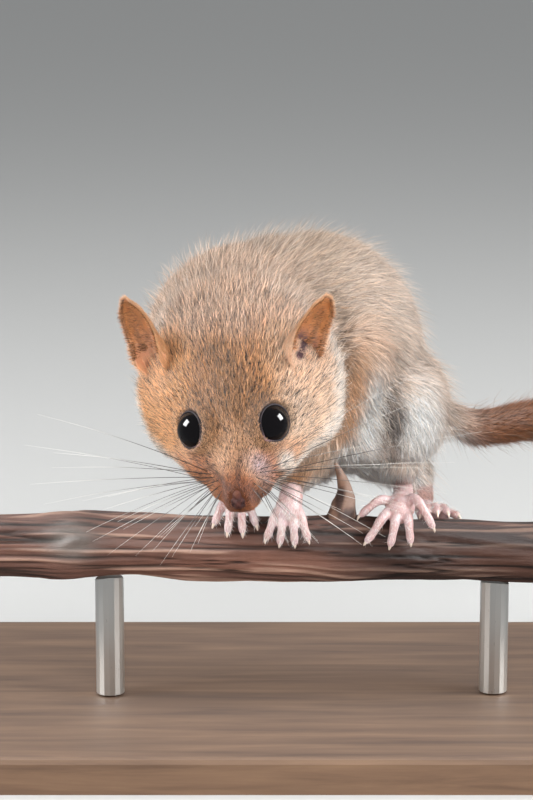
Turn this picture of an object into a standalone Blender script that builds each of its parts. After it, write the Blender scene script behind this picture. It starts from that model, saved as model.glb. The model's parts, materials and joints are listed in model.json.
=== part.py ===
"""A life-size hazel dormouse, hunched on a short length of branch that a plain stand holds up.

The animal faces -Y with its head lowered, its tail leaves to +X, and the origin is the middle of
the stand's underside. Sizes below are in millimetres, and each shape turns them into metres once.
"""

import math

import bmesh
import bpy
import numpy as np
from mathutils import Euler, Matrix, Vector
from mathutils.bvhtree import BVHTree

MM = 0.001
GAP = 0.3
VOXEL = 0.55
SMOOTH_ROUNDS = 9

BASE_SIZE = (104.0, 64.0, 5.0)
BASE_CORNER = 6.0
ROD_RADIUS = 2.0
ROD_PLACES = ((-27.0, -4.2), (27.0, -3.4))

BRANCH_RADIUS = 4.35
BRANCH_PATH = (
    (-46.0, -4.4, 26.9),
    (-30.0, -4.0, 26.6),
    (-10.0, -4.0, 26.3),
    (6.0, -4.0, 26.2),
    (20.0, -3.8, 25.9),
    (44.0, -3.0, 25.2),
)
BRANCH_SWELLS = ((-32.0, 5.0, 0.5), (5.0, 4.0, 0.35), (36.0, 7.0, 0.3))
STUB = (
    (4.9, -4.0, 28.0, 2.6),
    (5.6, -4.0, 31.6, 1.9),
    (5.9, -4.0, 34.6, 1.1),
    (4.6, -4.2, 38.2, 0.3),
)

NOSE = (-8.5, -22.0, 36.8)
HEAD_PITCH = math.radians(52.0)
HEAD_ROLL = math.radians(-7.0)
HEAD_YAW = math.radians(-9.0)
# Distance back from the nose, half width, height above and depth below the line to the nape, and
# how full the upper half is: 2 is an ellipse, and less falls away from the ridge like a roof.
HEAD_SECTIONS = (
    (-0.6, 1.6, 1.2, 1.2, 2.0),
    (0.6, 3.4, 2.3, 2.6, 2.0),
    (2.4, 4.9, 3.4, 3.8, 1.9),
    (4.6, 6.4, 4.7, 4.9, 1.7),
    (7.4, 8.7, 6.3, 6.3, 1.5),
    (10.4, 11.3, 7.9, 7.5, 1.45),
    (13.8, 13.4, 9.0, 8.5, 1.7),
    (17.2, 14.1, 9.4, 9.1, 2.0),
    (20.6, 13.8, 9.3, 9.2, 2.0),
    (24.2, 12.4, 8.4, 8.7, 2.0),
    (27.8, 9.6, 6.2, 7.2, 2.0),
)
# Centre and half sizes of the rounded parts of the head, in its own axes, on both sides of it.
HEAD_MASSES = {
    "cheek": ((8.6, 15.5, -2.0), (5.0, 6.5, 6.0)),
    "pad": ((2.4, 4.2, -0.6), (3.1, 4.0, 3.0)),
    "chin": ((0.4, 6.0, -4.2), (3.2, 4.6, 2.4)),
}
HEAD_REACH = 24.0
HEAD_DEPTH = 11.5
NECK_CUT = 23.5
NECK_LENGTH = 4.5
NECK_DEPTH = 9.0
NOSE_PAD = ((0.0, 0.1, 0.5), (1.45, 1.0, 1.0))
NOSTRIL = ((0.75, -0.75, 0.6), (0.34, 0.6, 0.3))
EYE_PLACE = (4.95, 9.4, 4.85)
EYE_RADIUS = 2.6
EYE_MOUND = (3.6, 3.7, 2.2)
GAZE = (0.68, -0.31, 0.66)
LID_RADIUS = 0.38
LID_RISE = 1.15
# Base and tip of each ear, and the way its cup opens, from the nose in the head's axes.
EARS = {
    "ear_left": ((9.3, 18.6, 6.0), (14.1, 23.9, 10.8), (0.90, -0.30, 0.26)),
    "ear_right": ((-11.0, 19.6, 5.9), (-13.3, 25.5, 12.8), (-0.66, -0.52, 0.54)),
}
# Half width and half angle of the cup from the ear's root to its tip.
EAR_SECTIONS = (
    (2.3, 140.0),
    (2.8, 118.0),
    (3.5, 94.0),
    (3.8, 76.0),
    (3.6, 64.0),
    (2.8, 56.0),
    (1.0, 50.0),
)
EAR_THICKNESS = 0.75
# How far back from the nose the mouth starts and how much further its corners are, with the angle
# from the middle of the chin to a corner.
MOUTH_BACK = (1.4, 5.6)
MOUTH_TURN = math.radians(54.0)
MOUTH_RADIUS = 0.3

# Centre and half sizes of the rounded masses that make the trunk.
TRUNK_MASSES = (
    ((1.5, 9.0, 51.5), (15.5, 13.5, 17.0)),
    ((10.0, 10.0, 43.0), (11.0, 12.5, 12.0)),
    ((-7.5, 4.0, 53.3), (14.3, 12.5, 14.3)),
    ((-6.0, 0.5, 44.0), (11.5, 9.5, 9.5)),
    ((5.0, 6.5, 41.0), (12.0, 10.5, 7.5)),
    ((-3.5, 7.0, 55.0), (13.0, 12.3, 13.3)),
    ((-8.0, -3.5, 54.5), (12.9, 9.0, 10.6)),
)
# Centre line and radius of each limb, from the body out to the wrist or the ankle.
LIMBS = {
    "foreleg_left": (
        (6.2, 0.0, 53.0, 6.6),
        (3.8, -1.5, 45.5, 5.0),
        (1.4, -3.4, 39.4, 3.2),
        (-1.3, -4.8, 35.4, 1.7),
    ),
    "foreleg_right": (
        (-15.0, 0.0, 51.0, 6.0),
        (-14.6, -0.5, 44.5, 4.6),
        (-12.6, -2.2, 39.0, 2.9),
        (-10.5, -3.2, 35.4, 1.7),
    ),
    "hindleg_left": (
        (13.4, 4.5, 44.8, 7.0),
        (14.6, 1.2, 41.0, 5.4),
        (14.6, 0.8, 37.2, 3.1),
        (14.2, 1.0, 34.6, 1.8),
    ),
    "hindleg_right": (
        (12.0, 14.0, 44.0, 7.2),
        (13.8, 13.5, 38.5, 5.2),
        (15.8, 10.5, 33.6, 2.9),
        (17.3, 7.6, 30.4, 1.8),
    ),
}
LIMB_ROOM = 0.9
TAIL = (
    (15.0, 10.0, 43.5, 5.4),
    (20.0, 10.2, 41.4, 3.6),
    (25.0, 10.5, 40.2, 2.7),
    (33.0, 10.6, 41.2, 2.9),
    (45.0, 11.4, 42.6, 3.3),
    (58.0, 12.8, 42.0, 3.4),
    (70.0, 14.0, 39.6, 2.9),
    (79.0, 14.2, 36.9, 1.7),
)
TAIL_CUTS = (21.5, 41.0, 60.0)
# Two corners of the room that the tail lies in, in y and z, and how far along x it may end.
TAIL_ROOM = ((0.0, 25.0), (30.0, 60.0))
TAIL_END = 100.0

# The way from wrist or heel through each palm.
PALMS = {
    "forepaw_left": ((-1.4, -5.2, 35.2, 1.5), (-1.7, -6.6, 33.8, 1.7), (-2.0, -7.6, 32.5, 1.9)),
    "forepaw_right": ((-10.2, -3.6, 34.6, 1.5), (-9.6, -4.2, 33.5, 1.7), (-9.2, -4.8, 32.7, 1.9)),
    "hindfoot_left": (
        (14.3, 2.2, 33.2, 1.4),
        (14.1, -1.0, 32.7, 1.5),
        (13.7, -4.4, 32.3, 2.0),
        (13.3, -6.4, 32.1, 1.9),
    ),
    "hindfoot_right": ((17.4, 7.2, 29.4, 1.4), (17.8, 5.0, 29.0, 1.5), (18.4, 2.9, 28.6, 1.9)),
}
# Each digit grips the branch: where along it root and tip are, how far round from its top towards
# the head's side they are in degrees, and how high the digit arches.
DIGITS = {
    "forepaw_left": (
        (-3.4, -5.1, 28.0, 63.0, 0.3),
        (-2.6, -3.2, 32.0, 70.0, 0.3),
        (-1.4, -1.1, 32.0, 71.0, 0.3),
        (-0.6, 0.8, 28.0, 64.0, 0.3),
    ),
    "forepaw_right": (
        (-10.6, -12.3, 6.0, 36.0, 0.1),
        (-9.8, -10.4, 10.0, 52.0, 0.1),
        (-8.6, -8.3, 10.0, 53.0, 0.1),
        (-7.8, -6.4, 6.0, 38.0, 0.1),
    ),
    "hindfoot_left": (
        (12.2, 7.8, 9.0, 20.0, 1.1),
        (11.9, 8.6, 26.0, 67.0, 0.3),
        (13.0, 12.0, 30.0, 72.0, 0.3),
        (14.4, 14.9, 28.0, 66.0, 0.3),
        (14.6, 18.2, 12.0, 47.0, 2.2),
    ),
    "hindfoot_right": (
        (17.2, 16.6, -64.0, -38.0, 0.2),
        (17.7, 17.6, -58.0, -18.0, 0.2),
        (18.5, 18.9, -57.0, -14.0, 0.2),
        (19.4, 20.4, -58.0, -17.0, 0.2),
        (20.0, 22.0, -63.0, -36.0, 0.2),
    ),
}
# Share of a digit's length, height above the bark and radius.
DIGIT_SHAPE = ((0.0, 2.2, 0.85), (0.4, 2.0, 0.7), (0.8, 1.0, 0.56), (1.0, 0.55, 0.15))
BODY_TRIANGLES = 5400

COLOURS = {
    "fur": (0.52, 0.33, 0.17),
    "ear": (0.62, 0.33, 0.18),
    "eye": (0.01, 0.01, 0.012),
    "skin": (0.72, 0.42, 0.38),
    "bark": (0.24, 0.13, 0.09),
    "stand": (0.30, 0.19, 0.11),
    "rod": (0.55, 0.53, 0.50),
}


def clear_scene():
    for obj in list(bpy.data.objects):
        bpy.data.objects.remove(obj)


def material(name, roughness=0.7, metallic=0.0):
    found = bpy.data.materials.get(name)
    if found:
        return found
    made = bpy.data.materials.new(name)
    made.use_nodes = True
    shader = made.node_tree.nodes["Principled BSDF"]
    shader.inputs["Base Color"].default_value = (*COLOURS[name], 1.0)
    shader.inputs["Roughness"].default_value = roughness
    shader.inputs["Metallic"].default_value = metallic
    return made


def collection(name):
    found = bpy.data.collections.get(name)
    if not found:
        found = bpy.data.collections.new(name)
        bpy.context.scene.collection.children.link(found)
    return found


def add_object(name, shape):
    """An object in the helpers' collection from a bmesh in millimetres."""
    bmesh.ops.recalc_face_normals(shape, faces=shape.faces)
    bmesh.ops.scale(shape, vec=(MM, MM, MM), verts=shape.verts)
    mesh = bpy.data.meshes.new(name)
    shape.to_mesh(mesh)
    shape.free()
    obj = bpy.data.objects.new(name, mesh)
    collection("helpers").objects.link(obj)
    return obj


def remove(obj):
    mesh = obj.data
    bpy.data.objects.remove(obj)
    bpy.data.meshes.remove(mesh)


def copy_of(obj, name):
    made = bpy.data.objects.new(name, obj.data.copy())
    collection("helpers").objects.link(made)
    return made


def settle(obj):
    """Applies the object's modifiers."""
    graph = bpy.context.evaluated_depsgraph_get()
    mesh = bpy.data.meshes.new_from_object(obj.evaluated_get(graph))
    obj.modifiers.clear()
    old = obj.data
    obj.data = mesh
    bpy.data.meshes.remove(old)
    return obj


def keep_largest(obj):
    """Leaves only the largest closed surface of a mesh."""
    shape = bmesh.new()
    shape.from_mesh(obj.data)
    seen = set()
    groups = []
    for first in shape.verts:
        if first in seen:
            continue
        group = [first]
        seen.add(first)
        for vert in group:
            for edge in vert.link_edges:
                other = edge.other_vert(vert)
                if other not in seen:
                    seen.add(other)
                    group.append(other)
        groups.append(group)
    groups.sort(key=len)
    for group in groups[:-1]:
        bmesh.ops.delete(shape, geom=group, context="VERTS")
    shape.to_mesh(obj.data)
    shape.free()
    return obj


def boolean(obj, operation, other, solver="MANIFOLD"):
    cut = obj.modifiers.new(operation.lower(), "BOOLEAN")
    cut.operation = operation
    cut.solver = solver
    cut.object = other
    settle(obj)
    return keep_largest(obj)


def union(name, pieces, solver="MANIFOLD"):
    """One closed body from overlapping closed pieces."""
    whole = pieces[0]
    whole.name = name
    joined = collection("joined")
    for piece in pieces[1:]:
        collection("helpers").objects.unlink(piece)
        joined.objects.link(piece)
    join = whole.modifiers.new("join", "BOOLEAN")
    join.operation = "UNION"
    join.solver = solver
    join.operand_type = "COLLECTION"
    join.collection = joined
    settle(whole)
    for piece in pieces[1:]:
        remove(piece)
    bpy.data.collections.remove(joined)
    return keep_largest(whole)


def ellipsoid(name, centre, radii, turn=(0.0, 0.0, 0.0), frame=Matrix(), sides=24):
    shape = bmesh.new()
    place = frame @ Matrix.Translation(centre) @ Euler(turn).to_matrix().to_4x4()
    place = place @ Matrix.Diagonal((*radii, 1.0))
    bmesh.ops.create_uvsphere(shape, u_segments=sides, v_segments=sides // 2, radius=1.0, matrix=place)
    return add_object(name, shape)


def box(name, low, high, frame=Matrix()):
    shape = bmesh.new()
    low, high = Vector(low), Vector(high)
    place = frame @ Matrix.Translation((low + high) / 2) @ Matrix.Diagonal((*(high - low), 1.0))
    bmesh.ops.create_cube(shape, size=1.0, matrix=place)
    return add_object(name, shape)


def capsule(ends, extra):
    """The convex body round two spheres, given as rows of x, y, z and radius."""
    shape = bmesh.new()
    for x, y, z, radius in ends:
        bmesh.ops.create_icosphere(
            shape, subdivisions=2, radius=radius + extra, matrix=Matrix.Translation((x, y, z)))
    points = [vert.co.copy() for vert in shape.verts]
    shape.clear()
    for point in points:
        shape.verts.new(point)
    hull = bmesh.ops.convex_hull(shape, input=shape.verts[:])
    inside = [part for part in hull["geom_interior"] if isinstance(part, bmesh.types.BMVert)]
    bmesh.ops.delete(shape, geom=inside, context="VERTS")
    return add_object("capsule", shape)


def curve_point(rows, t):
    """A point of the smooth curve through rows of numbers, t running from 0 to 1."""
    place = t * (len(rows) - 1)
    i = min(int(place), len(rows) - 2)
    u = place - i
    before, start, end, after = (rows[min(max(k, 0), len(rows) - 1)] for k in (i - 1, i, i + 1, i + 2))
    return [
        0.5 * (2 * b + (c - a) * u + (2 * a - 5 * b + 4 * c - d) * u**2 + (3 * b - a - 3 * c + d) * u**3)
        for a, b, c, d in zip(before, start, end, after)
    ]


def loft(name, rings, start=None, end=None):
    """A closed skin over rings of like points, with a fan at each end."""
    shape = bmesh.new()
    loops = [[shape.verts.new(point) for point in ring] for ring in rings]
    count = len(rings[0])
    for one, two in zip(loops, loops[1:]):
        for i in range(count):
            j = (i + 1) % count
            shape.faces.new((one[i], one[j], two[j], two[i]))
    for ring, tip in ((loops[0], start), (loops[-1], end)):
        middle = shape.verts.new(tip or sum((v.co for v in ring), Vector()) / count)
        for i in range(count):
            shape.faces.new((ring[i], ring[(i + 1) % count], middle))
    return add_object(name, shape)


def tube(name, rows, sides=12, steps=4, extra=0.0, ends=(1.0, 1.0)):
    """A round-ended tube along the curve through rows of x, y, z and radius."""
    count = steps * (len(rows) - 1)
    points = [curve_point(rows, i / count) for i in range(count + 1)]
    places = [Vector(point[:3]) for point in points]
    radii = [point[3] + extra for point in points]
    tangents = [(places[min(i + 1, count)] - places[max(i - 1, 0)]).normalized() for i in range(count + 1)]
    side = tangents[0].orthogonal().normalized()
    rings = []
    for i, tangent in enumerate(tangents):
        side = (side - tangent * side.dot(tangent)).normalized()
        across = tangent.cross(side)
        stops = [(0.0, 1.0)]
        if i == 0:
            stops = [(-0.87 * ends[0], 0.5), (-0.5 * ends[0], 0.87), (0.0, 1.0)]
        if i == count:
            stops = [(0.0, 1.0), (0.5 * ends[1], 0.87), (0.87 * ends[1], 0.5)]
        for along, share in stops:
            middle = places[i] + tangent * radii[i] * along
            rings.append([
                middle
                + radii[i] * share * (side * math.cos(turn) + across * math.sin(turn))
                for turn in (2 * math.pi * k / sides for k in range(sides))
            ])
    start = places[0] - tangents[0] * radii[0] * ends[0]
    end = places[-1] + tangents[-1] * radii[-1] * ends[1]
    return loft(name, rings, start, end)


def head_frame():
    """Local axes of the head: x to its left, y back from the nose, z up out of the crown."""
    turn = Matrix.Rotation(HEAD_YAW, 4, "Z") @ Matrix.Rotation(HEAD_ROLL, 4, "Y")
    return Matrix.Translation(NOSE) @ turn @ Matrix.Rotation(HEAD_PITCH, 4, "X")


def head_loft():
    frame = head_frame()
    rings = []
    sides = 32
    for i in range(41):
        back, half, above, below, full = curve_point(HEAD_SECTIONS, i / 40)
        ring = []
        for k in range(sides):
            turn = 2 * math.pi * k / sides
            across, up = math.cos(turn), below * math.sin(turn)
            if up > 0:
                up = above * (1 - abs(across) ** full) ** (1 / full)
            ring.append(frame @ Vector((half * across, back, up)))
        rings.append(ring)
    return loft("head_form", rings)


def whole_body():
    """Head, trunk, limbs and tail as one smooth body, out to the tips of the lying fur."""
    frame = head_frame()
    pieces = [head_loft()]
    for side in (-1, 1):
        for name, ((x, y, z), radii) in HEAD_MASSES.items():
            pieces.append(ellipsoid(name, (side * x, y, z), radii, frame=frame))
        pieces.append(ellipsoid("mound", (0, 0, 0), EYE_MOUND, frame=eye_frame(side)))
    for centre, radii in TRUNK_MASSES:
        pieces.append(ellipsoid("mass", centre, radii, sides=32))
    for name, rows in LIMBS.items():
        pieces.append(tube(name, rows))
    pieces.append(tube("tail", TAIL, sides=16))
    join = bmesh.new()
    for piece in pieces:
        join.from_mesh(piece.data)
        remove(piece)
    mesh = bpy.data.meshes.new("body")
    join.to_mesh(mesh)
    join.free()
    whole = bpy.data.objects.new("body", mesh)
    collection("helpers").objects.link(whole)
    remesh = whole.modifiers.new("remesh", "REMESH")
    remesh.mode = "VOXEL"
    remesh.voxel_size = VOXEL * MM
    smooth = whole.modifiers.new("smooth", "SMOOTH")
    smooth.factor = 0.5
    smooth.iterations = SMOOTH_ROUNDS
    settle(whole)
    return thin_out(keep_largest(whole), BODY_TRIANGLES)


def tail_region(cut):
    """All of the tail beyond a cut, further out by any extra."""
    return lambda extra: box("region", (cut - extra, *TAIL_ROOM[0]), (TAIL_END, *TAIL_ROOM[1]))


def head_region(extra):
    low = (-HEAD_REACH, -HEAD_REACH, -HEAD_DEPTH)
    return box("region", low, (HEAD_REACH, NECK_CUT + extra, HEAD_REACH), head_frame())


def neck_region(extra):
    low = (-HEAD_REACH, NECK_CUT - NECK_LENGTH, -NECK_DEPTH)
    return box("region", low, (HEAD_REACH, NECK_CUT + NECK_LENGTH + extra, HEAD_REACH), head_frame())


def limb_region(rows):
    """A chain of tapered capsules that leaves a little room round a limb."""
    return lambda extra: union(
        "region", [capsule(ends, LIMB_ROOM + extra) for ends in zip(rows, rows[1:])])


def part_off(body, name, region):
    """Takes the region out of the body as a piece of its own, with a thin gap round the cut."""
    inner = region(0.0)
    outer = region(GAP)
    piece = copy_of(body, name)
    boolean(piece, "INTERSECT", inner)
    boolean(body, "DIFFERENCE", outer)
    remove(inner)
    remove(outer)
    return piece


def thin_out(obj, triangles):
    """Brings a mesh down to about this many triangles."""
    shape = bmesh.new()
    shape.from_mesh(obj.data)
    bmesh.ops.triangulate(shape, faces=shape.faces)
    count = len(shape.faces)
    shape.to_mesh(obj.data)
    shape.free()
    if count > triangles:
        decimate = obj.modifiers.new("decimate", "DECIMATE")
        decimate.ratio = triangles / count
        settle(obj)
    return keep_largest(obj)


def finish(obj, colour, name=None):
    """Moves a finished piece to the model's collection with its material."""
    if name:
        obj.name = name
    obj.data.materials.clear()
    obj.data.materials.append(material(colour, 0.5 if colour in ("eye", "rod") else 0.75))
    obj.data.shade_smooth()
    obj.data.set_sharp_from_angle(angle=math.radians(50))
    collection("helpers").objects.unlink(obj)
    collection("hazel_dormouse").objects.link(obj)
    return obj


def body_nodes():
    """The body parted with thin cuts into the nodes that carry its flesh."""
    body = whole_body()
    near_body = grown(body, GAP)
    regions = {
        "tail_tip": tail_region(TAIL_CUTS[2]),
        "tail_middle": tail_region(TAIL_CUTS[1]),
        "tail_base": tail_region(TAIL_CUTS[0]),
        "head": head_region,
    }
    for name, rows in LIMBS.items():
        regions[name] = limb_region(rows)
    regions["neck"] = neck_region
    nodes = {name: part_off(body, name, region) for name, region in regions.items()}
    nodes["head"] = carve_head(nodes["head"])
    nodes["torso"] = body
    for name, obj in nodes.items():
        finish(obj, "fur", name)
    return near_body


def grown(obj, distance):
    """A copy of a smooth closed mesh, moved out along its normals."""
    made = copy_of(obj, "grown")
    displace = made.modifiers.new("grow", "DISPLACE")
    displace.strength = distance * MM
    displace.mid_level = 0.0
    return settle(made)


def axes_along(origin, tip, facing):
    """A frame whose z runs from origin to tip and whose -y faces the given way."""
    up = (Vector(tip) - Vector(origin)).normalized()
    back = -(Vector(facing) - up * up.dot(Vector(facing))).normalized()
    side = back.cross(up)
    place = Matrix((side, back, up)).transposed().to_4x4()
    place.translation = origin
    return place


def ear(name, near):
    """A thin cupped leaf whose rim curls in to a tube at its root, clear of the head by the gap."""
    base, tip, facing = EARS[name]
    frame = head_frame() @ axes_along(base, tip, facing)
    length = (Vector(tip) - Vector(base)).length
    sink = 2.0
    shape = bmesh.new()
    rows = []
    across = 6
    steps = 9
    for i in range(steps + 1):
        half, spread = curve_point(EAR_SECTIONS, i / steps)
        spread = math.radians(spread)
        radius = half / math.sin(min(spread, math.pi / 2))
        height = -sink + (length + sink) * i / steps
        row = []
        for k in range(across + 1):
            turn = spread * (2 * k / across - 1)
            row.append(shape.verts.new(
                frame @ Vector((radius * math.sin(turn), radius * (math.cos(turn) - 0.6), height))))
        rows.append(row)
    for one, two in zip(rows, rows[1:]):
        for k in range(across):
            shape.faces.new((one[k], one[k + 1], two[k + 1], two[k]))
    obj = add_object(name, shape)
    shell = obj.modifiers.new("shell", "SOLIDIFY")
    shell.thickness = EAR_THICKNESS * MM
    shell.offset = 0.0
    settle(obj)
    boolean(obj, "DIFFERENCE", near)
    return finish(obj, "ear")


def eye_frame(side):
    """The middle of an eye, with z along its gaze."""
    x, y, z = EYE_PLACE
    gaze = Vector((side * GAZE[0], GAZE[1], GAZE[2])).normalized()
    turn = gaze.to_track_quat("Z", "Y").to_matrix().to_4x4()
    return head_frame() @ Matrix.Translation((side * x, y, z)) @ turn


def eyes():
    for name, side in (("eye_left", 1), ("eye_right", -1)):
        finish(ellipsoid(name, (0, 0, 0), (EYE_RADIUS,) * 3, frame=eye_frame(side), sides=20), "eye")


def lid_ring(side):
    """The rim of the lids, a ring round the open part of the eye."""
    frame = eye_frame(side)
    ring_radius = math.sqrt(EYE_RADIUS**2 - LID_RISE**2) + 0.75 * LID_RADIUS
    rings = []
    count = 18
    sides = 5
    for i in range(count):
        turn = 2 * math.pi * i / count
        ring = []
        for k in range(sides):
            roll = 2 * math.pi * k / sides
            reach = ring_radius + LID_RADIUS * math.cos(roll)
            ring.append(frame @ Vector((
                reach * math.cos(turn), reach * math.sin(turn), LID_RISE + LID_RADIUS * math.sin(roll))))
        rings.append(ring)
    shape = bmesh.new()
    loops = [[shape.verts.new(point) for point in ring] for ring in rings]
    for i in range(count):
        one, two = loops[i], loops[(i + 1) % count]
        for k in range(sides):
            j = (k + 1) % sides
            shape.faces.new((one[k], one[j], two[j], two[k]))
    return add_object("lid", shape)


def on_head(tree, frame, back, turn):
    """The point of the head's surface at this distance back from the nose and angle round its axis."""
    out = frame.to_3x3() @ Vector((math.sin(turn), 0.0, -math.cos(turn)))
    start = (frame @ Vector((0.0, back, 0.0))) * MM + out * 0.03
    hit = tree.ray_cast(start, -out)[0]
    return hit / MM


def carve_head(head):
    """Lids, sockets, nose, nostrils and the line of the mouth."""
    frame = head_frame()
    pieces = [head]
    for side in (-1, 1):
        pieces.append(lid_ring(side))
    pieces.append(ellipsoid("nose", *NOSE_PAD, frame=frame, sides=14))
    head = union("head", pieces)
    bm = bmesh.new()
    bm.from_mesh(head.data)
    tree = BVHTree.FromBMesh(bm)
    bm.free()
    path = []
    for i in range(13):
        t = i / 6 - 1
        back = MOUTH_BACK[0] + MOUTH_BACK[1] * abs(t) ** 1.4
        path.append((*on_head(tree, frame, back, MOUTH_TURN * t), MOUTH_RADIUS))
    cutters = [tube("mouth", path, 6, 1)]
    opening = math.sqrt(EYE_RADIUS**2 - LID_RISE**2)
    (x, y, z), radii = NOSTRIL
    for side in (-1, 1):
        cutters.append(ellipsoid("nostril", (side * x, y, z), radii, frame=frame, sides=8))
        eye = eye_frame(side)
        cutters.append(ellipsoid("socket", (0, 0, 0), (EYE_RADIUS + GAP,) * 3, frame=eye, sides=20))
        rows = ((0, 0, LID_RISE, opening), (0, 0, 3 * EYE_RADIUS, opening + 1.5))
        rows = [(*(eye @ Vector(row[:3])), row[3]) for row in rows]
        cutters.append(tube("opening", rows, 20, 1, 0, (0, 0)))
    for cutter in cutters:
        boolean(head, "DIFFERENCE", cutter)
        remove(cutter)
    return head


def branch_axis(x):
    """Where the middle of the branch is at this place along it."""
    along, across, height = zip(*BRANCH_PATH)
    return float(np.interp(x, along, across)), float(np.interp(x, along, height))


def digit(root_x, tip_x, root_turn, tip_turn, arch):
    """A digit that reaches round the branch from the palm to the end of its claw."""
    rows = []
    for share, height, radius in DIGIT_SHAPE:
        x = root_x + (tip_x - root_x) * share
        turn = math.radians(root_turn + (tip_turn - root_turn) * share)
        y, z = branch_axis(x)
        reach = BRANCH_RADIUS + height + arch * math.sin(math.pi * (0.15 + 0.75 * share))
        rows.append((x, y - reach * math.sin(turn), z + reach * math.cos(turn), radius))
    return tube("digit", rows, 6, 2)


def paw(name, rooms):
    """Palm and digits in one body, clear of its leg and of the branch by the gap."""
    pieces = [tube(name, PALMS[name], 9, 2)]
    for values in DIGITS[name]:
        pieces.append(digit(*values))
    obj = union(name, pieces)
    for room in rooms:
        boolean(obj, "DIFFERENCE", room)
    return finish(obj, "skin")


def branch_form(name, extra=0.0):
    """The branch with its swellings and its pointed stub."""
    rings = []
    sides = 14
    count = 20
    for i in range(count + 1):
        x, y, z = curve_point(BRANCH_PATH, i / count)
        radius = BRANCH_RADIUS
        for place, reach, swell in BRANCH_SWELLS:
            radius += swell * math.exp(-(((x - place) / reach) ** 2))
        ring = []
        for k in range(sides):
            turn = 2 * math.pi * k / sides
            rough = 1 + 0.03 * math.sin(3 * turn + 0.15 * x) + 0.02 * math.sin(5 * turn - 0.4 * x)
            out = radius * rough + extra
            ring.append(Vector((x, y - out * math.sin(turn), z + out * math.cos(turn))))
        rings.append(ring)
    limb = loft(name, rings)
    stub = tube("stub", STUB, sides=8, steps=3, extra=extra)
    return union(name, [limb, stub])


def stand(perch_room):
    length, depth, height = BASE_SIZE
    plate = box("stand_base", (-length / 2, -depth / 2, 0), (length / 2, depth / 2, height))
    shape = bmesh.new()
    shape.from_mesh(plate.data)
    upright = [e for e in shape.edges if abs(e.verts[0].co.z - e.verts[1].co.z) > 1e-6]
    bmesh.ops.bevel(
        shape, geom=upright, offset=BASE_CORNER * MM, segments=6, profile=0.5, affect="EDGES")
    near_top = (height - 0.01) * MM
    top = [e for e in shape.edges if min(v.co.z for v in e.verts) > near_top and len(e.link_faces) == 2]
    bmesh.ops.bevel(shape, geom=top, offset=0.8 * MM, segments=2, profile=0.5, affect="EDGES")
    shape.to_mesh(plate.data)
    shape.free()
    finish(plate, "stand")
    for i, (x, y) in enumerate(ROD_PLACES):
        rows = ((x, y, height + GAP, ROD_RADIUS), (x, y, 24.0, ROD_RADIUS))
        rod = tube(f"stand_rod_{i + 1}", rows, 16, 1, 0, (0, 0))
        boolean(rod, "DIFFERENCE", perch_room)
        finish(rod, "rod")


def build():
    clear_scene()
    near_body = body_nodes()
    for name in EARS:
        ear(name, near_body)
    eyes()
    perch_room = branch_form("perch_room", GAP)
    for name in PALMS:
        paw(name, (near_body, perch_room))
    stand(perch_room)
    remove(near_body)
    remove(perch_room)
    finish(branch_form("perch_branch"), "bark")


build()
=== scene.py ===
"""Looks for a life-size hazel dormouse on its perch: skin, coat, eyes, paws, bark and stand.

Lengths are in millimetres, and shapes turn into metres once, when they become meshes. The head
faces -Y, the tail leaves to +X, and the head's own axes are x to its left, y back from the nose
and z up out of the crown.
"""

import json
import math

import bmesh
import bpy
import numpy as np
from mathutils import Matrix, Vector
from mathutils.bvhtree import BVHTree

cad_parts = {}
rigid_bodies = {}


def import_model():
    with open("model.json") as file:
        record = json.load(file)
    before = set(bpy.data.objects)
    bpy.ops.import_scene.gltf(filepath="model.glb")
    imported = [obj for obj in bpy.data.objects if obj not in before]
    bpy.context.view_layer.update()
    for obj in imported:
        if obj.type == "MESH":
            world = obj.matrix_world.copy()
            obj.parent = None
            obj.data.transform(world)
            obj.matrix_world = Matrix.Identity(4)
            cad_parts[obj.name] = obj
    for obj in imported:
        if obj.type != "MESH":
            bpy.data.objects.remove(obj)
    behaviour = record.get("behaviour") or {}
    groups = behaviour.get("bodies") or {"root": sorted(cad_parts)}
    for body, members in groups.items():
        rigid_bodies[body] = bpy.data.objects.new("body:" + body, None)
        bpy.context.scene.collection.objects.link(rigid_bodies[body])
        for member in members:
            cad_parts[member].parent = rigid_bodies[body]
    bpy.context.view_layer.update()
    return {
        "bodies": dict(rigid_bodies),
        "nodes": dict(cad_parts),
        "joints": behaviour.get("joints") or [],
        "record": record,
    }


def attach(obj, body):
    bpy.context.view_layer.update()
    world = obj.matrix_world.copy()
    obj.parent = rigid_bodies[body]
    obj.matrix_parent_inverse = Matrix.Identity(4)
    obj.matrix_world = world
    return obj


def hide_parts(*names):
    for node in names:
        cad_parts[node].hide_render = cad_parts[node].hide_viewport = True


MM = 0.001
SEED = 11

NOSE = (-8.5, -22.0, 36.8)
HEAD_PITCH = math.radians(52.0)
HEAD_ROLL = math.radians(-7.0)
HEAD_YAW = math.radians(-9.0)
# The balls that make the nose: middle and radii.
NOSE_BALLS = (
    ((0.0, 0.9, 1.55), (0.75, 1.0, 0.95)),
    ((0.0, 0.0, 0.95), (0.95, 0.9, 1.0)),
    ((0.6, 0.0, 1.1), (0.5, 0.68, 0.8)),
    ((-0.6, 0.0, 1.1), (0.5, 0.68, 0.8)),
)
EYE_PLACE = (4.95, 9.4, 4.85)
EYE_RADIUS = 2.6
RIM_AROUND, RIM_SIDES = 96, 10
GAZE = {1: (0.75, -0.30, 0.59), -1: (0.66, -0.31, 0.68)}
LID_RISE = 1.1
# The hollow of the skin round an eye: its bowl, and where its slope begins and ends.
BOWL_RADIUS, BOWL_REACH, BOWL_EDGE = 2.3, 2.1, 0.9
SLOPE_START, SLOPE_END = 2.45, 5.5

FLESH = ("head", "neck", "torso", "foreleg_left", "foreleg_right", "hindleg_left", "hindleg_right",
         "tail_base", "tail_middle", "tail_tip")
SKIN_VOXEL = 0.32
SEAM_FILL = 0.2
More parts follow.
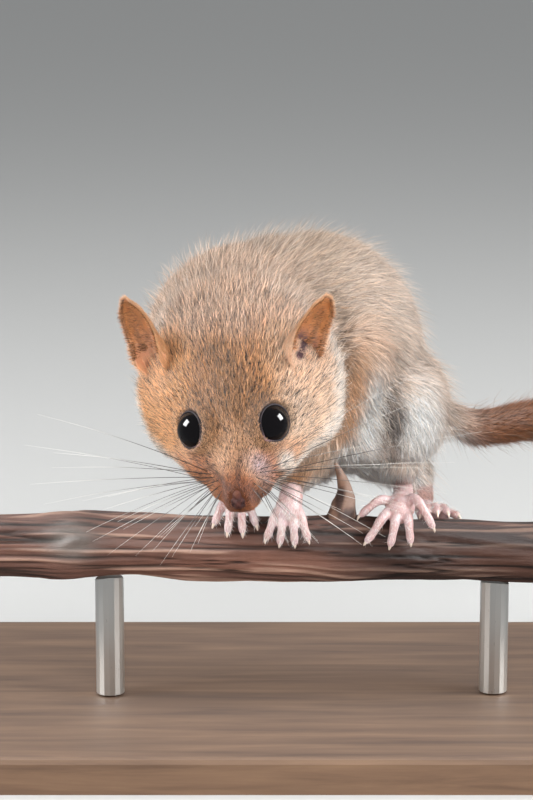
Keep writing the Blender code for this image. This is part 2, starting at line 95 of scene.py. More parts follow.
# How deep the skin lies below the flesh: at least, and by the length of its hair.
SKIN_DEPTH, SKIN_DEPTH_SHARE = 0.12, 0.27
# The longest drawing-in of the skin under the belly, at the ankle, beside the nose and round the eyes.
BELLY_TUCK, ANKLE_TUCK, MUZZLE_TUCK, EYE_TUCK = 2.2, 0.75, 0.95, 0.55
# Name, pieces, hairs in each, segments of a hair, and the least and most hair length that it covers.
COAT_LAYERS = (
    ("coat_face", 2, 58000, 1, 0.0, 2.0),
    ("coat_body", 3, 62000, 1, 2.0, 9.0),
    ("coat_top", 2, 20000, 2, 1.6, 9.0),
)
GUARD_HAIRS = 4000
TUFT_SINK = 0.05
# Width, and tilt from the skin in degrees, by the length of the hair.
HAIR_WIDTH = ((0.4, 1.0, 2.0, 4.0), (0.09, 0.13, 0.125, 0.095))
HAIR_TILT = ((0.4, 1.5, 2.5, 4.0), (32.0, 36.0, 27.0, 22.0))
# How far tufts turn from their way, and how far they go on turning.
SWAY, CURL = 0.24, 0.22
# The height and half the width of a tuft's patch on the map.
PATCH, PATCH_HALF = 0.003, 0.0013
# Spread of the tufts' tints, then the share of dark ones and of all but pale ones, and their change.
TINT_SPREAD, WARM_SPREAD = 0.30, 0.05
DARK_SHARE, DARKER = 0.25, 0.65
PALE_FROM, PALER = 0.80, 0.6
# Light at the root of a dark tuft, what a pale one adds to it, and light at the tip.
ROOT_LIGHT, ROOT_GAIN, TIP_LIGHT = 0.32, 0.4, 1.42
BRIGHTEST, DARKEST = 0.93, 0.004
STRAY_SHARE = 0.05
PAW_HAIRS = 900
# Least and most length, width and tilt of the single hairs.
GUARD_HAIR_SIZES = ((4.0, 6.5), (0.035, 0.055), (24, 50))
PAW_HAIR_SIZES = ((0.5, 1.3), (0.035, 0.055), (12, 34))
WHISKER_ROWS, WHISKER_COLUMNS = 4, 6

# The lie of the coat: chains of x, y, z and radius from root to tip of each part.
LIE = {
    "trunk": (
        (-8.0, -5.0, 53.0, 12.0),
        (-5.0, 2.0, 53.0, 14.0),
        (1.5, 9.0, 51.0, 15.5),
        (9.0, 10.5, 45.0, 13.0),
        (15.0, 10.5, 41.0, 8.0),
    ),
    "foreleg_left": (
        (6.2, 0, 53, 6.6), (3.8, -1.5, 45.5, 5.0), (1.4, -3.4, 39.4, 3.2), (-1.3, -4.8, 35.4, 1.7),
    ),
    "foreleg_right": (
        (-15, 0, 51, 6), (-14.6, -0.5, 44.5, 4.6), (-12.6, -2.2, 39, 2.9), (-10.5, -3.2, 35.4, 1.7),
    ),
    "hindleg_left": (
        (13.4, 4.5, 44.8, 7), (14.6, 1.2, 41, 5.4), (14.6, 0.8, 37.2, 3.1), (14.2, 1, 34.6, 1.8),
    ),
    "hindleg_right": (
        (12, 14, 44, 7.2), (13.8, 13.5, 38.5, 5.2), (15.8, 10.5, 33.6, 2.9), (17.3, 7.6, 30.4, 1.8),
    ),
    "tail": (
        (20.0, 10.2, 41.4, 3.6),
        (25.0, 10.5, 40.2, 2.7),
        (33.0, 10.6, 41.2, 2.9),
        (45.0, 11.4, 42.6, 3.3),
        (58.0, 12.8, 42.0, 3.4),
        (70.0, 14.0, 39.6, 2.9),
        (79.0, 14.2, 36.9, 1.7),
    ),
}
# Hair length by the way along each part.
HAIR_LENGTH = {
    "trunk": ((0, 0.3, 1), (2.9, 3.1, 3.2)),
    "foreleg_left": ((0, 0.5, 0.8, 1), (3.0, 2.6, 1.6, 0.7)),
    "foreleg_right": ((0, 0.5, 0.8, 1), (3.0, 2.6, 1.6, 0.7)),
    "hindleg_left": ((0, 0.35, 0.6, 0.74, 1), (3.2, 2.8, 1.6, 0.6, 0.5)),
    "hindleg_right": ((0, 0.35, 0.6, 0.74, 1), (3.2, 2.8, 1.6, 0.6, 0.5)),
    "tail": ((0, 0.15, 0.6, 1), (2.8, 2.6, 3.2, 4.6)),
}
# Hair length on the head, by the place back from the nose.
HEAD_HAIR = ((-1, 3, 7, 11, 16, 22, 28), (0.4, 0.6, 0.95, 1.3, 1.7, 2.2, 2.8))
# Where the fur of each leg gives way to the pink foot, by the way along it.
ANKLES = {
    "foreleg_left": (0.84, 0.97),
    "foreleg_right": (0.84, 0.97),
    "hindleg_left": (0.60, 0.76),
    "hindleg_right": (0.7, 0.85),
}
HEAD_CHAIN = ((0.0, 2.0, 0.0, 4.0), (0.0, 8.0, 0.0, 7.5), (0.0, 15.0, 0.0, 11.5), (0.0, 22.0, 0.0, 12.0))

EARS = {
    "ear_left": ((8.4, 18.7, 6.2), (14.1, 23.9, 10.8), (0.78, -0.42, 0.46)),
    "ear_right": ((-9.8, 19.9, 6.2), (-13.3, 25.5, 12.8), (-0.55, -0.56, 0.62)),
}
# Colour of the root inside, and how strong the painted shade in the hollow is.
EAR_TINTS = {"ear_left": ((0.36, 0.17, 0.11), 1.0), "ear_right": ((0.62, 0.30, 0.17), 0.2)}
# Count, least place from root to tip, length, width, tilt in degrees, lean outwards, contrast and colour.
EAR_HAIR = {
    "back": (9500, 0.02, 0.75, 0.07, 18.0, 0.25, 0.6, (0.78, 0.42, 0.21)),
    "inside": (5600, 0.24, 0.8, 0.08, 18.0, 1.6, 1.35, (0.42, 0.17, 0.062)),
    "rim": (1700, 0.3, 0.5, 0.045, 16.0, 0.8, 0.6, (0.74, 0.40, 0.20)),
}
# Half width, and half of the arc in degrees, of sections from root to tip.
EAR_SECTIONS = ((2.0, 138), (2.3, 114), (2.5, 94), (2.5, 80), (2.4, 70), (2.1, 64), (1.7, 58), (0.8, 50))
EAR_ACROSS, EAR_STEPS = 40, 44
EAR_THICKNESS = 0.26
EAR_SINK = 1.2
# The share of the ear's length over which its root is drawn onto the skin.
EAR_ROOT = 0.18
EAR_GROOVE = ((10.0, 21.4, 5.5), (9.1, 17.8, 6.4))

BRANCH_RADIUS = 4.35
BRANCH_STEPS, BRANCH_SIDES = 420, 128
BRANCH_PATH = (
    (-46, -4.4, 26.9), (-30, -4, 26.6), (-10, -4, 26.3), (6, -4, 26.2), (20, -3.8, 25.9), (44, -3, 25.2),
)
BRANCH_SWELLS = ((-32.0, 5.0, 0.5), (5.0, 4.0, 0.35), (36.0, 7.0, 0.3))
STUB = ((4.9, -4.0, 28.0, 2.6), (5.6, -4.0, 31.6, 1.9), (5.9, -4.0, 34.6, 1.1), (4.6, -4.2, 38.2, 0.3))

PALMS = {
    "forepaw_left": ((-1.4, -5.2, 35.2, 1.5), (-1.7, -6.6, 33.8, 1.7), (-2.0, -7.6, 32.5, 1.9)),
    "forepaw_right": ((-10.2, -3.6, 34.6, 1.5), (-9.6, -4.2, 33.5, 1.7), (-9.2, -4.8, 32.7, 1.9)),
    "hindfoot_left": ((14.3, 2.2, 33.2, 1.4), (14.1, -1.0, 32.7, 1.5), (13.7, -4.4, 32.3, 2.0),
                      (13.3, -6.4, 32.1, 1.9)),
    "hindfoot_right": ((17.4, 7.2, 29.4, 1.4), (17.8, 5.0, 29.0, 1.5), (18.4, 2.9, 28.6, 1.9)),
}
# Each digit's x at root and tip, its turn round the branch in degrees at both, and its arch.
DIGITS = {
    "forepaw_left": (
        (-3.4, -5.1, 28, 63, 0.3),
        (-2.6, -3.2, 32, 70, 0.3),
        (-1.4, -1.1, 32, 71, 0.3),
        (-0.6, 0.8, 28, 64, 0.3),
    ),
    "forepaw_right": (
        (-10.6, -12.3, 6, 36, 0.1),
        (-9.8, -10.4, 10, 52, 0.1),
        (-8.6, -8.3, 10, 53, 0.1),
        (-7.8, -6.4, 6, 38, 0.1),
    ),
    "hindfoot_left": (
        (12.2, 7.8, 9, 20, 1.1),
        (11.9, 8.6, 26, 67, 0.3),
        (13.0, 12.0, 30, 72, 0.3),
        (14.4, 14.9, 28, 66, 0.3),
        (14.6, 18.2, 12, 47, 2.2),
    ),
    "hindfoot_right": (
        (17.2, 16.6, -64, -38, 0.2),
        (17.7, 17.6, -58, -18, 0.2),
        (18.5, 18.9, -57, -14, 0.2),
        (19.4, 20.4, -58, -17, 0.2),
        (20.0, 22.0, -63, -36, 0.2),
    ),
}
# Share of a digit's length, height above the bark and radius, with knuckles and a round tip.
DIGIT_SHAPE = (
    (0, 2.2, 0.8), (0.22, 2.25, 0.72), (0.42, 1.95, 0.66),
    (0.6, 1.45, 0.56), (0.78, 1, 0.6), (0.9, 0.75, 0.5),
)

# How far ahead of the digit's end, how far from the bark, and the radius.
CLAW_SHAPE = ((-0.1, 0.1, 0.3), (0.45, 0.1, 0.24), (0.8, -0.15, 0.14), (0.9, -0.45, 0.03))

# Colours of the coat, in linear light.
CROWN = (0.46, 0.21, 0.082)
CROWN_DARK = (0.25, 0.125, 0.055)
CROWN_SIDE = (0.80, 0.39, 0.15)
CROWN_BACK = (0.80, 0.51, 0.35)
NAPE = (0.66, 0.44, 0.31)
CHEEK = (0.86, 0.42, 0.16)
CHEEK_PALE = (0.88, 0.60, 0.41)
# Orange fur at the roots of the ears; the right ear's colour is raised partly as painted light, where the ear
# shades the fur at its root.
EAR_BASE = {"ear_left": (0.98, 0.62, 0.40), "ear_right": (0.98, 0.50, 0.23)}
MUZZLE = (0.38, 0.125, 0.035)
MUZZLE_TOP = (0.98, 0.57, 0.33)
MUZZLE_SIDE = (0.50, 0.20, 0.08)
MUZZLE_DARK = (0.09, 0.03, 0.013)
NOSE_FUR = (0.17, 0.05, 0.022)
PINK_PATCH = (0.80, 0.60, 0.60)
CREAM = (0.92, 0.79, 0.68)
BACK = (0.44, 0.325, 0.24)
FLANK = (0.72, 0.575, 0.475)
UPPER_ARM = (0.72, 0.37, 0.18)
WHITE = (0.92, 0.90, 0.87)
DARK_SPOT = (0.08, 0.065, 0.06)
# Painted shade on the belly beside the left hind leg.
SHADED = (0.40, 0.28, 0.22)
# Painted light: a pale coat laid on the lower arm, where the head shades it, and on the lower left hind leg.
PALE_PAINTED_LIGHT = (0.95, 0.68, 0.50)
# Dark purple skin of the slit below the left ear's opening, darkened further as painted shade in the groove.
EAR_SLIT = (0.10, 0.035, 0.05)
TAIL_ROOT = (0.21, 0.07, 0.02)
TAIL_END = (0.068, 0.026, 0.008)
FOOT = (0.78, 0.50, 0.44)
EYE_RIM = (0.12, 0.07, 0.055)
RIM_DARK, RIM_CORNER = (0.02, 0.013, 0.016), (0.20, 0.11, 0.12)
GUARD_PALE = (0.70, 0.56, 0.44)
NOSE_SKIN = (0.06, 0.022, 0.018)
WHISKER_DARK, WHISKER_PALE = (0.03, 0.02, 0.016), (0.80, 0.77, 0.72)
PAW_SKIN, PAW_FLUSH, PAW_HAIR = (0.52, 0.31, 0.29), (0.60, 0.43, 0.43), (0.9, 0.86, 0.82)
BARK, BARK_DARK = (0.17, 0.075, 0.05), (0.06, 0.03, 0.024)
# Pale on the ridges and dark in the furrows: partly the bark's own colour, partly painted highlight on the
# ridges and painted shade in the furrows.
BARK_RIDGE, BARK_DEEP = (0.34, 0.20, 0.145), (0.03, 0.017, 0.013)
CUT_WOOD = ((0.45, 0.30, 0.18), (0.62, 0.45, 0.28))
OAK = ((0.085, 0.045, 0.026), (0.20, 0.115, 0.065))
# Near black in the cracks: partly the bark's own colour, partly painted shade in them.
BARK_CRACK, LICHEN = (0.012, 0.007, 0.006), (0.17, 0.155, 0.14)
# The height in the head where the cream of the throat begins, by the place back from the nose.
JAW_LINE = ((2.0, 3.5, 5.0, 7.0, 9.0, 11.5, 16.0, 20.0), (-2.6, -2.2, -1.6, -1.2, -1.0, -0.9, 1.9, 2.3))
# Marks of the body: place, reach along each axis, strength and colour. Some are painted light or painted
# shade, as said beside them.
BODY_MARKS = (
    ((6.3, -4.8, 48.5), (2.1, 3.6, 6.0), 0.85, UPPER_ARM),
    # painted light on the lower arm, in the shade of the head
    ((3.4, -4.9, 40.8), (3.2, 3.6, 3.4), 1.0, PALE_PAINTED_LIGHT),
    ((15.9, -0.8, 44.2), (3.6, 6.5, 5.4), 1.0, WHITE),
    # White fur along the edge of the arm, made wider and stronger as painted light where the head shades it.
    ((9.4, -2.6, 48.6), (2.1, 4.0, 5.0), 1.0, WHITE),
    ((8.6, -2.8, 44.0), (2.0, 3.6, 4.0), 1.0, WHITE),
    ((6.2, -3.2, 40.2), (2.4, 3.2, 2.2), 1.0, WHITE),
    ((12.4, -1.6, 44.6), (1.5, 3.2, 3.4), 0.9, DARK_SPOT),
    # painted shade on the belly beside the left hind leg
    ((11.6, -1.4, 40.2), (2.0, 3.0, 2.6), 0.6, SHADED),
    # painted light on the lower left hind leg
    ((14.4, 0.2, 38.2), (3.0, 4.0, 1.5), 0.5, PALE_PAINTED_LIGHT),
)

# Name, place, size, power, and whether it lights surfaces or only shows in glossy ones.
LAMPS = (
    ("left_box", (-0.37, -0.06, 0.27), 0.34, 2.2, True, False),
    ("right_box", (0.37, -0.06, 0.27), 0.34, 2.3, True, False),
    ("front_fill", (0.12, -0.62, 0.20), 0.5, 4.2, True, False),
    ("left_glint", (-0.30, -0.052, 0.228), 0.17, 5.2, False, True),
    ("right_glint", (0.30, -0.052, 0.228), 0.17, 5.2, False, True),
)
SKY, SKY_STRENGTH = (0.88, 0.9, 0.92, 1.0), 0.50
LAMP_TARGET = (-0.005, -0.015, 0.048)
FLOOR_SIZE = 2000.0
CAMERA_TARGET = (-0.005, -0.012, 0.049)
CAMERA_RISE = math.radians(12.0)
CAMERA_DISTANCE = 0.380
CAMERA_LENS = 126.5


def unit(values):
    return values / np.maximum(np.linalg.norm(values, axis=-1, keepdims=True), 1e-9)


def level_with(ways, normals):
    """Directions laid flat on the surface."""
    return unit(ways - normals * np.sum(ways * normals, axis=1, keepdims=True))


def step(value, low, high):
    """0 below low, 1 above high and smooth between; low may be the larger."""
    t = np.clip((value - low) / (high - low), 0.0, 1.0)
    return t * t * (3 - 2 * t)


def bump_at(value, middle, reach):
    return np.exp(-(((value - middle) / reach) ** 2))


def blend(under, over, share):
    """Mixes rows of colours, or one colour, by a share for each row."""
    return under * (1 - share[:, None]) + np.asarray(over) * share[:, None]


def ripple(points, scale, seed):
    """Smooth unrepeating noise between about -1 and 1, from a few turned waves."""
    rng = np.random.default_rng(seed)
    total = np.zeros(len(points))
    for k in range(6):
        way = unit(rng.normal(size=3))
        total += np.sin(points @ way * (scale * (0.7 + 0.25 * k)) + rng.uniform(0, 6.28))
    return total / 3.0


def head_matrix():
    turn = Matrix.Rotation(HEAD_YAW, 4, "Z") @ Matrix.Rotation(HEAD_ROLL, 4, "Y")
    return Matrix.Translation(NOSE) @ turn @ Matrix.Rotation(HEAD_PITCH, 4, "X")


HEAD = np.array(head_matrix())


def to_head(points):
    return (points - HEAD[:3, 3]) @ HEAD[:3, :3]


def from_head(points):
    return np.asarray(points) @ HEAD[:3, :3].T + HEAD[:3, 3]


def eye_matrix(side):
    """The middle of an eye, with z along its gaze."""
    x, y, z = EYE_PLACE
    gaze = Vector(GAZE[side]).normalized()
    gaze.x *= side
    turn = gaze.to_track_quat("Z", "Y").to_matrix().to_4x4()
    return head_matrix() @ Matrix.Translation((side * x, y, z)) @ turn


def eye_gap(points, side):
    """How far each point is from the middle of an eye."""
    return np.linalg.norm(points - np.array(eye_matrix(side))[:3, 3], axis=1)


def placed(points, matrix):
    """Points carried by a matrix."""
    matrix = np.array(matrix)
    return points @ matrix[:3, :3].T + matrix[:3, 3]


def box_gap(points, middle, reach=1.0):
    """How far each point is from a middle, in units of the reach along each axis."""
    return np.linalg.norm((points - middle) / reach, axis=1)


def curve_points(rows, count):
    """Points of the smooth curve through rows of numbers."""
    rows = np.asarray(rows, float)
    place = np.linspace(0, len(rows) - 1, count)
    i = np.minimum(place.astype(int), len(rows) - 2)
    u = (place - i)[:, None]
    before, start = rows[np.maximum(i - 1, 0)], rows[i]
    end, after = rows[i + 1], rows[np.minimum(i + 2, len(rows) - 1)]
    return 0.5 * (
        2 * start
        + (end - before) * u
        + (2 * before - 5 * start + 4 * end - after) * u**2
        + (3 * start - before - 3 * end + after) * u**3
    )


def mesh_object(name, points, faces, uvs=None):
    """An object from points in millimetres and rows of corner numbers, all triangles or all quads."""
    corners = faces.shape[1]
    mesh = bpy.data.meshes.new(name)
    mesh.vertices.add(len(points))
    mesh.vertices.foreach_set("co", (points * MM).astype(np.float32).ravel())
    mesh.loops.add(faces.size)
    mesh.loops.foreach_set("vertex_index", faces.astype(np.int32).ravel())
    mesh.polygons.add(len(faces))
    mesh.polygons.foreach_set("loop_start", np.arange(0, faces.size, corners, dtype=np.int32))
    mesh.update(calc_edges=True)
    if uvs is not None:
        layer = mesh.uv_layers.new(name="OFBake")
        layer.data.foreach_set("uv", uvs[faces.ravel()].astype(np.float32).ravel())
    mesh.shade_smooth()
    obj = bpy.data.objects.new(name, mesh)
    bpy.context.scene.collection.objects.link(obj)
    return obj


def paint(obj, colours):
    """Puts a colour for each point on the mesh."""
    made = obj.data.attributes.new("coat", "FLOAT_COLOR", "POINT")
    full = np.ones((len(colours), 4), np.float32)
    full[:, :3] = np.clip(colours, 0.0, 1.0)
    made.data.foreach_set("color", full.ravel())


def dressed(obj, look, slot, *replaced):
    """Gives a piece its material, puts it on the root body and hides the nodes that it stands for; its slot
    is not used.
    """
    obj.data.materials.append(look)
    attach(obj, "root")
    if replaced:
        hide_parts(*replaced)


def read_mesh(obj):
    """Points in millimetres, their normals and the faces' corner numbers as triangles."""
    mesh = obj.data
    points = np.empty(len(mesh.vertices) * 3, np.float32)
    mesh.vertices.foreach_get("co", points)
    normals = np.empty(len(mesh.vertices) * 3, np.float32)
    mesh.vertex_normals.foreach_get("vector", normals)
    mesh.calc_loop_triangles()
    corners = np.empty(len(mesh.loop_triangles) * 3, np.int32)
    mesh.loop_triangles.foreach_get("vertices", corners)
    points = points.reshape(-1, 3).astype(float) / MM
    return points, normals.reshape(-1, 3).astype(float), corners.reshape(-1, 3)


def move_points(obj, points):
    obj.data.vertices.foreach_set("co", (points * MM).astype(np.float32).ravel())
    obj.data.update()


def settle(obj):
    """Applies the object's modifiers."""
    graph = bpy.context.evaluated_depsgraph_get()
    mesh = bpy.data.meshes.new_from_object(obj.evaluated_get(graph))
    obj.modifiers.clear()
    old = obj.data
    obj.data = mesh
    bpy.data.meshes.remove(old)


def keep_largest(obj):
    """Leaves only the largest closed surface of a mesh."""
    shape = bmesh.new()
    shape.from_mesh(obj.data)
    seen = set()
    groups = []
    for first in shape.verts:
        if first in seen:
            continue
        group = [first]
        seen.add(first)
        for vert in group:
            for edge in vert.link_edges:
                other = edge.other_vert(vert)
                if other not in seen:
                    seen.add(other)
                    group.append(other)
        groups.append(group)
    groups.sort(key=len)
    for group in groups[:-1]:
        bmesh.ops.delete(shape, geom=group, context="VERTS")
    shape.to_mesh(obj.data)
    shape.free()


def remeshed(obj, voxel, rounds):
    """One smooth closed surface round all of a mesh's pieces."""
    remesh = obj.modifiers.new("remesh", "REMESH")
    remesh.mode = "VOXEL"
    remesh.voxel_size = voxel * MM
    soften = obj.modifiers.new("soften", "SMOOTH")
    soften.factor = 0.5
    soften.iterations = rounds
    settle(obj)
    keep_largest(obj)
    obj.data.shade_smooth()


def stacked(parts):
    """Joins (points, faces) pairs into one."""
    points, faces, start = [], [], 0
    for part_points, part_faces in parts:
        points.append(part_points)
        faces.append(part_faces + start)
        start += len(part_points)
    return np.concatenate(points), np.concatenate(faces)


def ball(centre, radii, matrix=None, detail=4):
    """Triangles of an ellipsoid."""
    shape = bmesh.new()
    bmesh.ops.create_icosphere(shape, subdivisions=detail, radius=1.0)
    points = np.array([vert.co for vert in shape.verts]) * np.asarray(radii) + np.asarray(centre)
    faces = np.array([[vert.index for vert in face.verts] for face in shape.faces])
    shape.free()
    return (points if matrix is None else placed(points, matrix)), faces


def tube(rows, sides, count, round_ends=True):
    """Triangles of a tube along the curve through rows of x, y, z and radius."""
    rows = curve_points(rows, count)
    places, radii = rows[:, :3], np.maximum(rows[:, 3], 1e-3)
    tangents = unit(np.gradient(places, axis=0))
    side = unit(np.cross(tangents[0], (0.3, 0.5, 0.8)))
    turns = np.arange(sides) * 2 * math.pi / sides
    rings = []
    for i in range(count):
        side = unit(side - tangents[i] * (side @ tangents[i]))
        across = np.cross(tangents[i], side)
        circle = np.cos(turns)[:, None] * side + np.sin(turns)[:, None] * across
        stops = ((0.0, 1.0),)
        if round_ends and i == 0:
            stops = ((-0.87, 0.5), (-0.5, 0.87), (0.0, 1.0))
        if round_ends and i == count - 1:
            stops = ((0.0, 1.0), (0.5, 0.87), (0.87, 0.5))
        for along, share in stops:
            rings.append(places[i] + tangents[i] * radii[i] * along + circle * radii[i] * share)
    reach = 1.0 if round_ends else 0.0
    ends = (places[0] - tangents[0] * radii[0] * reach, places[-1] + tangents[-1] * radii[-1] * reach)
    return lofted(rings, ends)


def lofted(rings, ends):
    """Triangles over rings of like points, closed by a fan to each end point."""
    count, sides = len(rings), len(rings[0])
    points = np.concatenate([*rings, np.array(ends)])
    k = np.arange(sides)
    j = (k + 1) % sides
    faces = []
    for i in range(count - 1):
        a, b = i * sides, (i + 1) * sides
        faces.append(np.stack([a + k, a + j, b + j], axis=1))
        faces.append(np.stack([a + k, b + j, b + k], axis=1))
    last = (count - 1) * sides
    first_tip, last_tip = count * sides, count * sides + 1
    faces.append(np.stack([j, k, np.full(sides, first_tip)], axis=1))
    faces.append(np.stack([last + k, last + j, np.full(sides, last_tip)], axis=1))
    return points, np.concatenate(faces)


def lie_samples():
    """Dense points along the chains, their directions, radii and part numbers; part 0 is the head."""
    places, ways, radii, parts = [], [], [], []
    head = np.array(HEAD_CHAIN)
    head = np.column_stack([from_head(head[:, :3]), head[:, 3]])
    for number, rows in enumerate([head, *LIE.values()]):
        dense = curve_points(rows, 6 * len(rows))
        places.append(dense[:, :3])
        radii.append(dense[:, 3])
        ways.append(unit(np.gradient(dense[:, :3], axis=0)))
        parts.append(np.full(len(dense), number))
    return np.concatenate(places), np.concatenate(ways), np.concatenate(radii), np.concatenate(parts)


class Lie:
    """Where each point of the surface belongs, and which way its hair runs."""

    def __init__(self, points, normals):
        self.points = points
        self.normals = normals
        places, ways, radii, parts = lie_samples()
        gaps = np.linalg.norm(points[:, None] - places[None], axis=2) - radii
        gaps -= gaps.min(axis=1, keepdims=True)
        weights = np.exp(-gaps / 1.1)
        weights /= weights.sum(axis=1, keepdims=True)
        names = ["head", *LIE]
        self.share = {name: weights[:, parts == i].sum(axis=1) for i, name in enumerate(names)}
        self.along = {}
        for i, name in enumerate(names):
            own = weights[:, parts == i] + 1e-12
            self.along[name] = own @ np.linspace(0, 1, own.shape[1]) / own.sum(axis=1)
        flow = np.where(parts == 0, 0.0, weights) @ ways
        from_nose = unit(points - from_head((0.0, -4.0, -1.0)))
        flow += self.share["head"][:, None] * from_nose
        near_head = step(self.along["trunk"], 0.35, 0.05) * self.share["trunk"]
        flow += 0.8 * near_head[:, None] * from_nose
        low = step(normals[:, 2], 0.3, -0.6) * self.share["trunk"]
        flow[:, 2] -= 0.25 * low + 0.25 * self.share["trunk"] * np.abs(normals[:, 0])
        self.way = level_with(flow, normals)
        self.local = to_head(points)

    def length(self):
        """How long the hair is: short round the eyes and the groove, longer at the roots of the ears."""
        total = self.share["head"] * np.interp(self.local[:, 1], *HEAD_HAIR)
        for name, lengths in HAIR_LENGTH.items():
            total += self.share[name] * np.interp(self.along[name], *lengths)
        for side in (-1, 1):
            total *= 0.45 + 0.55 * step(eye_gap(self.points, side), 2.6, 5.0)
        for base, _, _ in EARS.values():
            total += 0.35 * step(box_gap(self.local, base), 4.5, 2.5)
        return total * (0.25 + 0.75 * step(groove_gap(self.local), 0.8, 3.0))


def layered(count, under, layers):
    """Rows of one colour with others laid over it, each by its share for each row."""
    rows = np.tile(under, (count, 1))
    for colour, share in layers:
        rows = blend(rows, colour, share)
    return rows


def face_layers(lie):
    """The markings round the nose, the lips and the eyes."""
    x, y, z = lie.local.T
    side = np.abs(x)
    mottle = ripple(lie.local, 1.3, 8)
    turn = np.arctan2(x, y + 0.5) * 8 + 0.8 * mottle
    strokes = step(np.sin(turn), 0.35, 0.9) * step(y, 6.5, 3.5) * step(np.hypot(x, y), 1.0, 2.2)
    jaw = z - np.interp(y, *JAW_LINE)
    lip = box_gap(lie.local, (6.2, 5.2, 0.8), (1.1, 1.1, 2.2))
    nose = box_gap(lie.local, (0.0, 0.2, 1.6))
    layers = [
        (MUZZLE_TOP, step(y + 0.7 * mottle, 9.5, 5.5)),
        (MUZZLE_SIDE, step(y + mottle, 8.0, 4.6) * step(side, 1.6, 4.2) * step(z, 5.2, 3.6)),
        (MUZZLE, step(y + 0.35 * side + mottle, 6.6, 2.2)),
        (MUZZLE_DARK, 0.7 * strokes),
        (PINK_PATCH, 0.85 * (bump_at(x, 3.0, 1.2) * bump_at(y, 4.2, 1.2))),
        (CREAM, step(jaw + 0.4 * mottle, 2.0, -0.4) * step(y, 1.0, 3.0)),
        (CREAM, step(lip + 0.25 * mottle, 1.6, 0.4)),
        (NOSE_FUR, 0.8 * step(nose + 0.4 * mottle, 3.4, 1.4)),
    ]
    for way in (-1, 1):
        near = eye_gap(lie.points, way)
        layers.append((CROWN_DARK, 0.75 * (step(side, 6.8, 4.4) * step(near, 4.8, 3.0))))
        layers.append((EYE_RIM, 0.8 * step(near, 3.05, 2.75)))
    return layers


def head_colour(lie):
    """The markings of the head, from the crown to the face."""
    x, y, _ = lie.local.T
    side = np.abs(x)
    mottle = ripple(lie.local, 1.3, 8)
    layers = [
        (CROWN_DARK, 0.85 * bump_at(side, 0, 3.2) * step(y, 6, 10) * step(y, 22, 15)),
        (CROWN_SIDE, step(side, 3.2, 7.0)),
        (CHEEK, step(side, 7.0, 10.5) * step(y, 21, 16) * step(x, 5.0, -5.0)),
        (CHEEK_PALE, step(x, 5.0, 8.0) * step(y, 21, 16)),
        (CROWN_BACK, step(y + mottle, 17.0, 24.0)),
        (NAPE, step(y + mottle, 23.0, 31.0)),
    ]
    for name, (base, _, _) in EARS.items():
        near = box_gap(lie.local, np.array(base) * (1, 0.95, 0.8))
        layers.append((EAR_BASE[name], 0.95 * step(near, 6.4, 3.0)))
    layers += face_layers(lie)
    # the slit: dark skin with painted shade in the groove
    layers.append((EAR_SLIT, slit_share(lie.local)))
    return layered(len(x), CROWN, layers)


def coat_colour(lie):
    """The markings, with painted light and painted shade on the body, shared by skin and coat."""
    count = len(lie.points)
    along = lie.along["trunk"]
    down = lie.normals[:, 2] + 0.035 * (lie.points[:, 2] - 46)
    trunk_layers = (
        (FLANK, step(lie.points[:, 0], 2.0, 15.0)),
        (NAPE, 0.9 * step(along, 0.38, 0.12)),
        (CROWN_BACK, 0.8 * step(along, 0.14, 0.0)),
        (WHITE, step(down, -0.15, -0.6)),
    )
    trunk = layered(count, BACK, trunk_layers)
    total = lie.share["head"][:, None] * head_colour(lie) + lie.share["trunk"][:, None] * trunk
    forelegs = lie.share["foreleg_left"] + lie.share["foreleg_right"]
    total += forelegs[:, None] * np.array(UPPER_ARM)
    total = blend(total, WHITE, step(down, -0.3, -0.8) * forelegs)
    for name in ("hindleg_left", "hindleg_right"):
        leg = layered(count, FLANK, [(WHITE, step(lie.along[name], 0.12, 0.5))])
        total += lie.share[name][:, None] * leg
    tail = layered(count, TAIL_ROOT, [(TAIL_END, step(lie.along["tail"], 0.1, 0.75))])
    total += lie.share["tail"][:, None] * tail
    for place, reach, strength, colour in BODY_MARKS:
        share = np.exp(-(box_gap(lie.points, place, reach) ** 3))
        total = blend(total, colour, strength * share * (1 - lie.share["head"]))
    for name, (high, low) in ANKLES.items():
        total = blend(total, FOOT, step(lie.along[name], high, low) * step(lie.share[name], 0.4, 0.8))
    return total * (1 + 0.10 * ripple(lie.points, 0.9, 3)[:, None])


def nose_share(local):
    """How far a place belongs to the bare nose."""
    return step(box_gap(local, (0.0, 0.2, 1.6), (1.2, 1.45, 1.4)), 1.1, 0.85)


def groove_gap(local):
    """How far a place is from the line of the bare groove below the opening of the left ear."""
    start, end = np.array(EAR_GROOVE)
    run = end - start
    share = np.clip((local - start) @ run / (run @ run), 0, 1)
    return np.linalg.norm(local - start - share[:, None] * run, axis=1)


def slit_share(local):
    """How far a place belongs to the groove."""
    return step(groove_gap(local), 0.95, 0.65)


def joined_flesh(frame):
    """The flesh nodes as triangles, swollen to close the gaps between them."""
    shape = bmesh.new()
    for name in FLESH:
        shape.from_mesh(frame["nodes"][name].data)
    bmesh.ops.remove_doubles(shape, verts=shape.verts, dist=1e-6)
    mesh = bpy.data.meshes.new("flesh")
    shape.to_mesh(mesh)
    shape.free()
    flesh = bpy.data.objects.new("flesh", mesh)
    bpy.context.scene.collection.objects.link(flesh)
    swell = flesh.modifiers.new("swell", "DISPLACE")
    swell.strength = SEAM_FILL * MM
    swell.mid_level = 0.0
    settle(flesh)
    points, _, faces = read_mesh(flesh)
    bpy.data.objects.remove(flesh)
    return points, faces


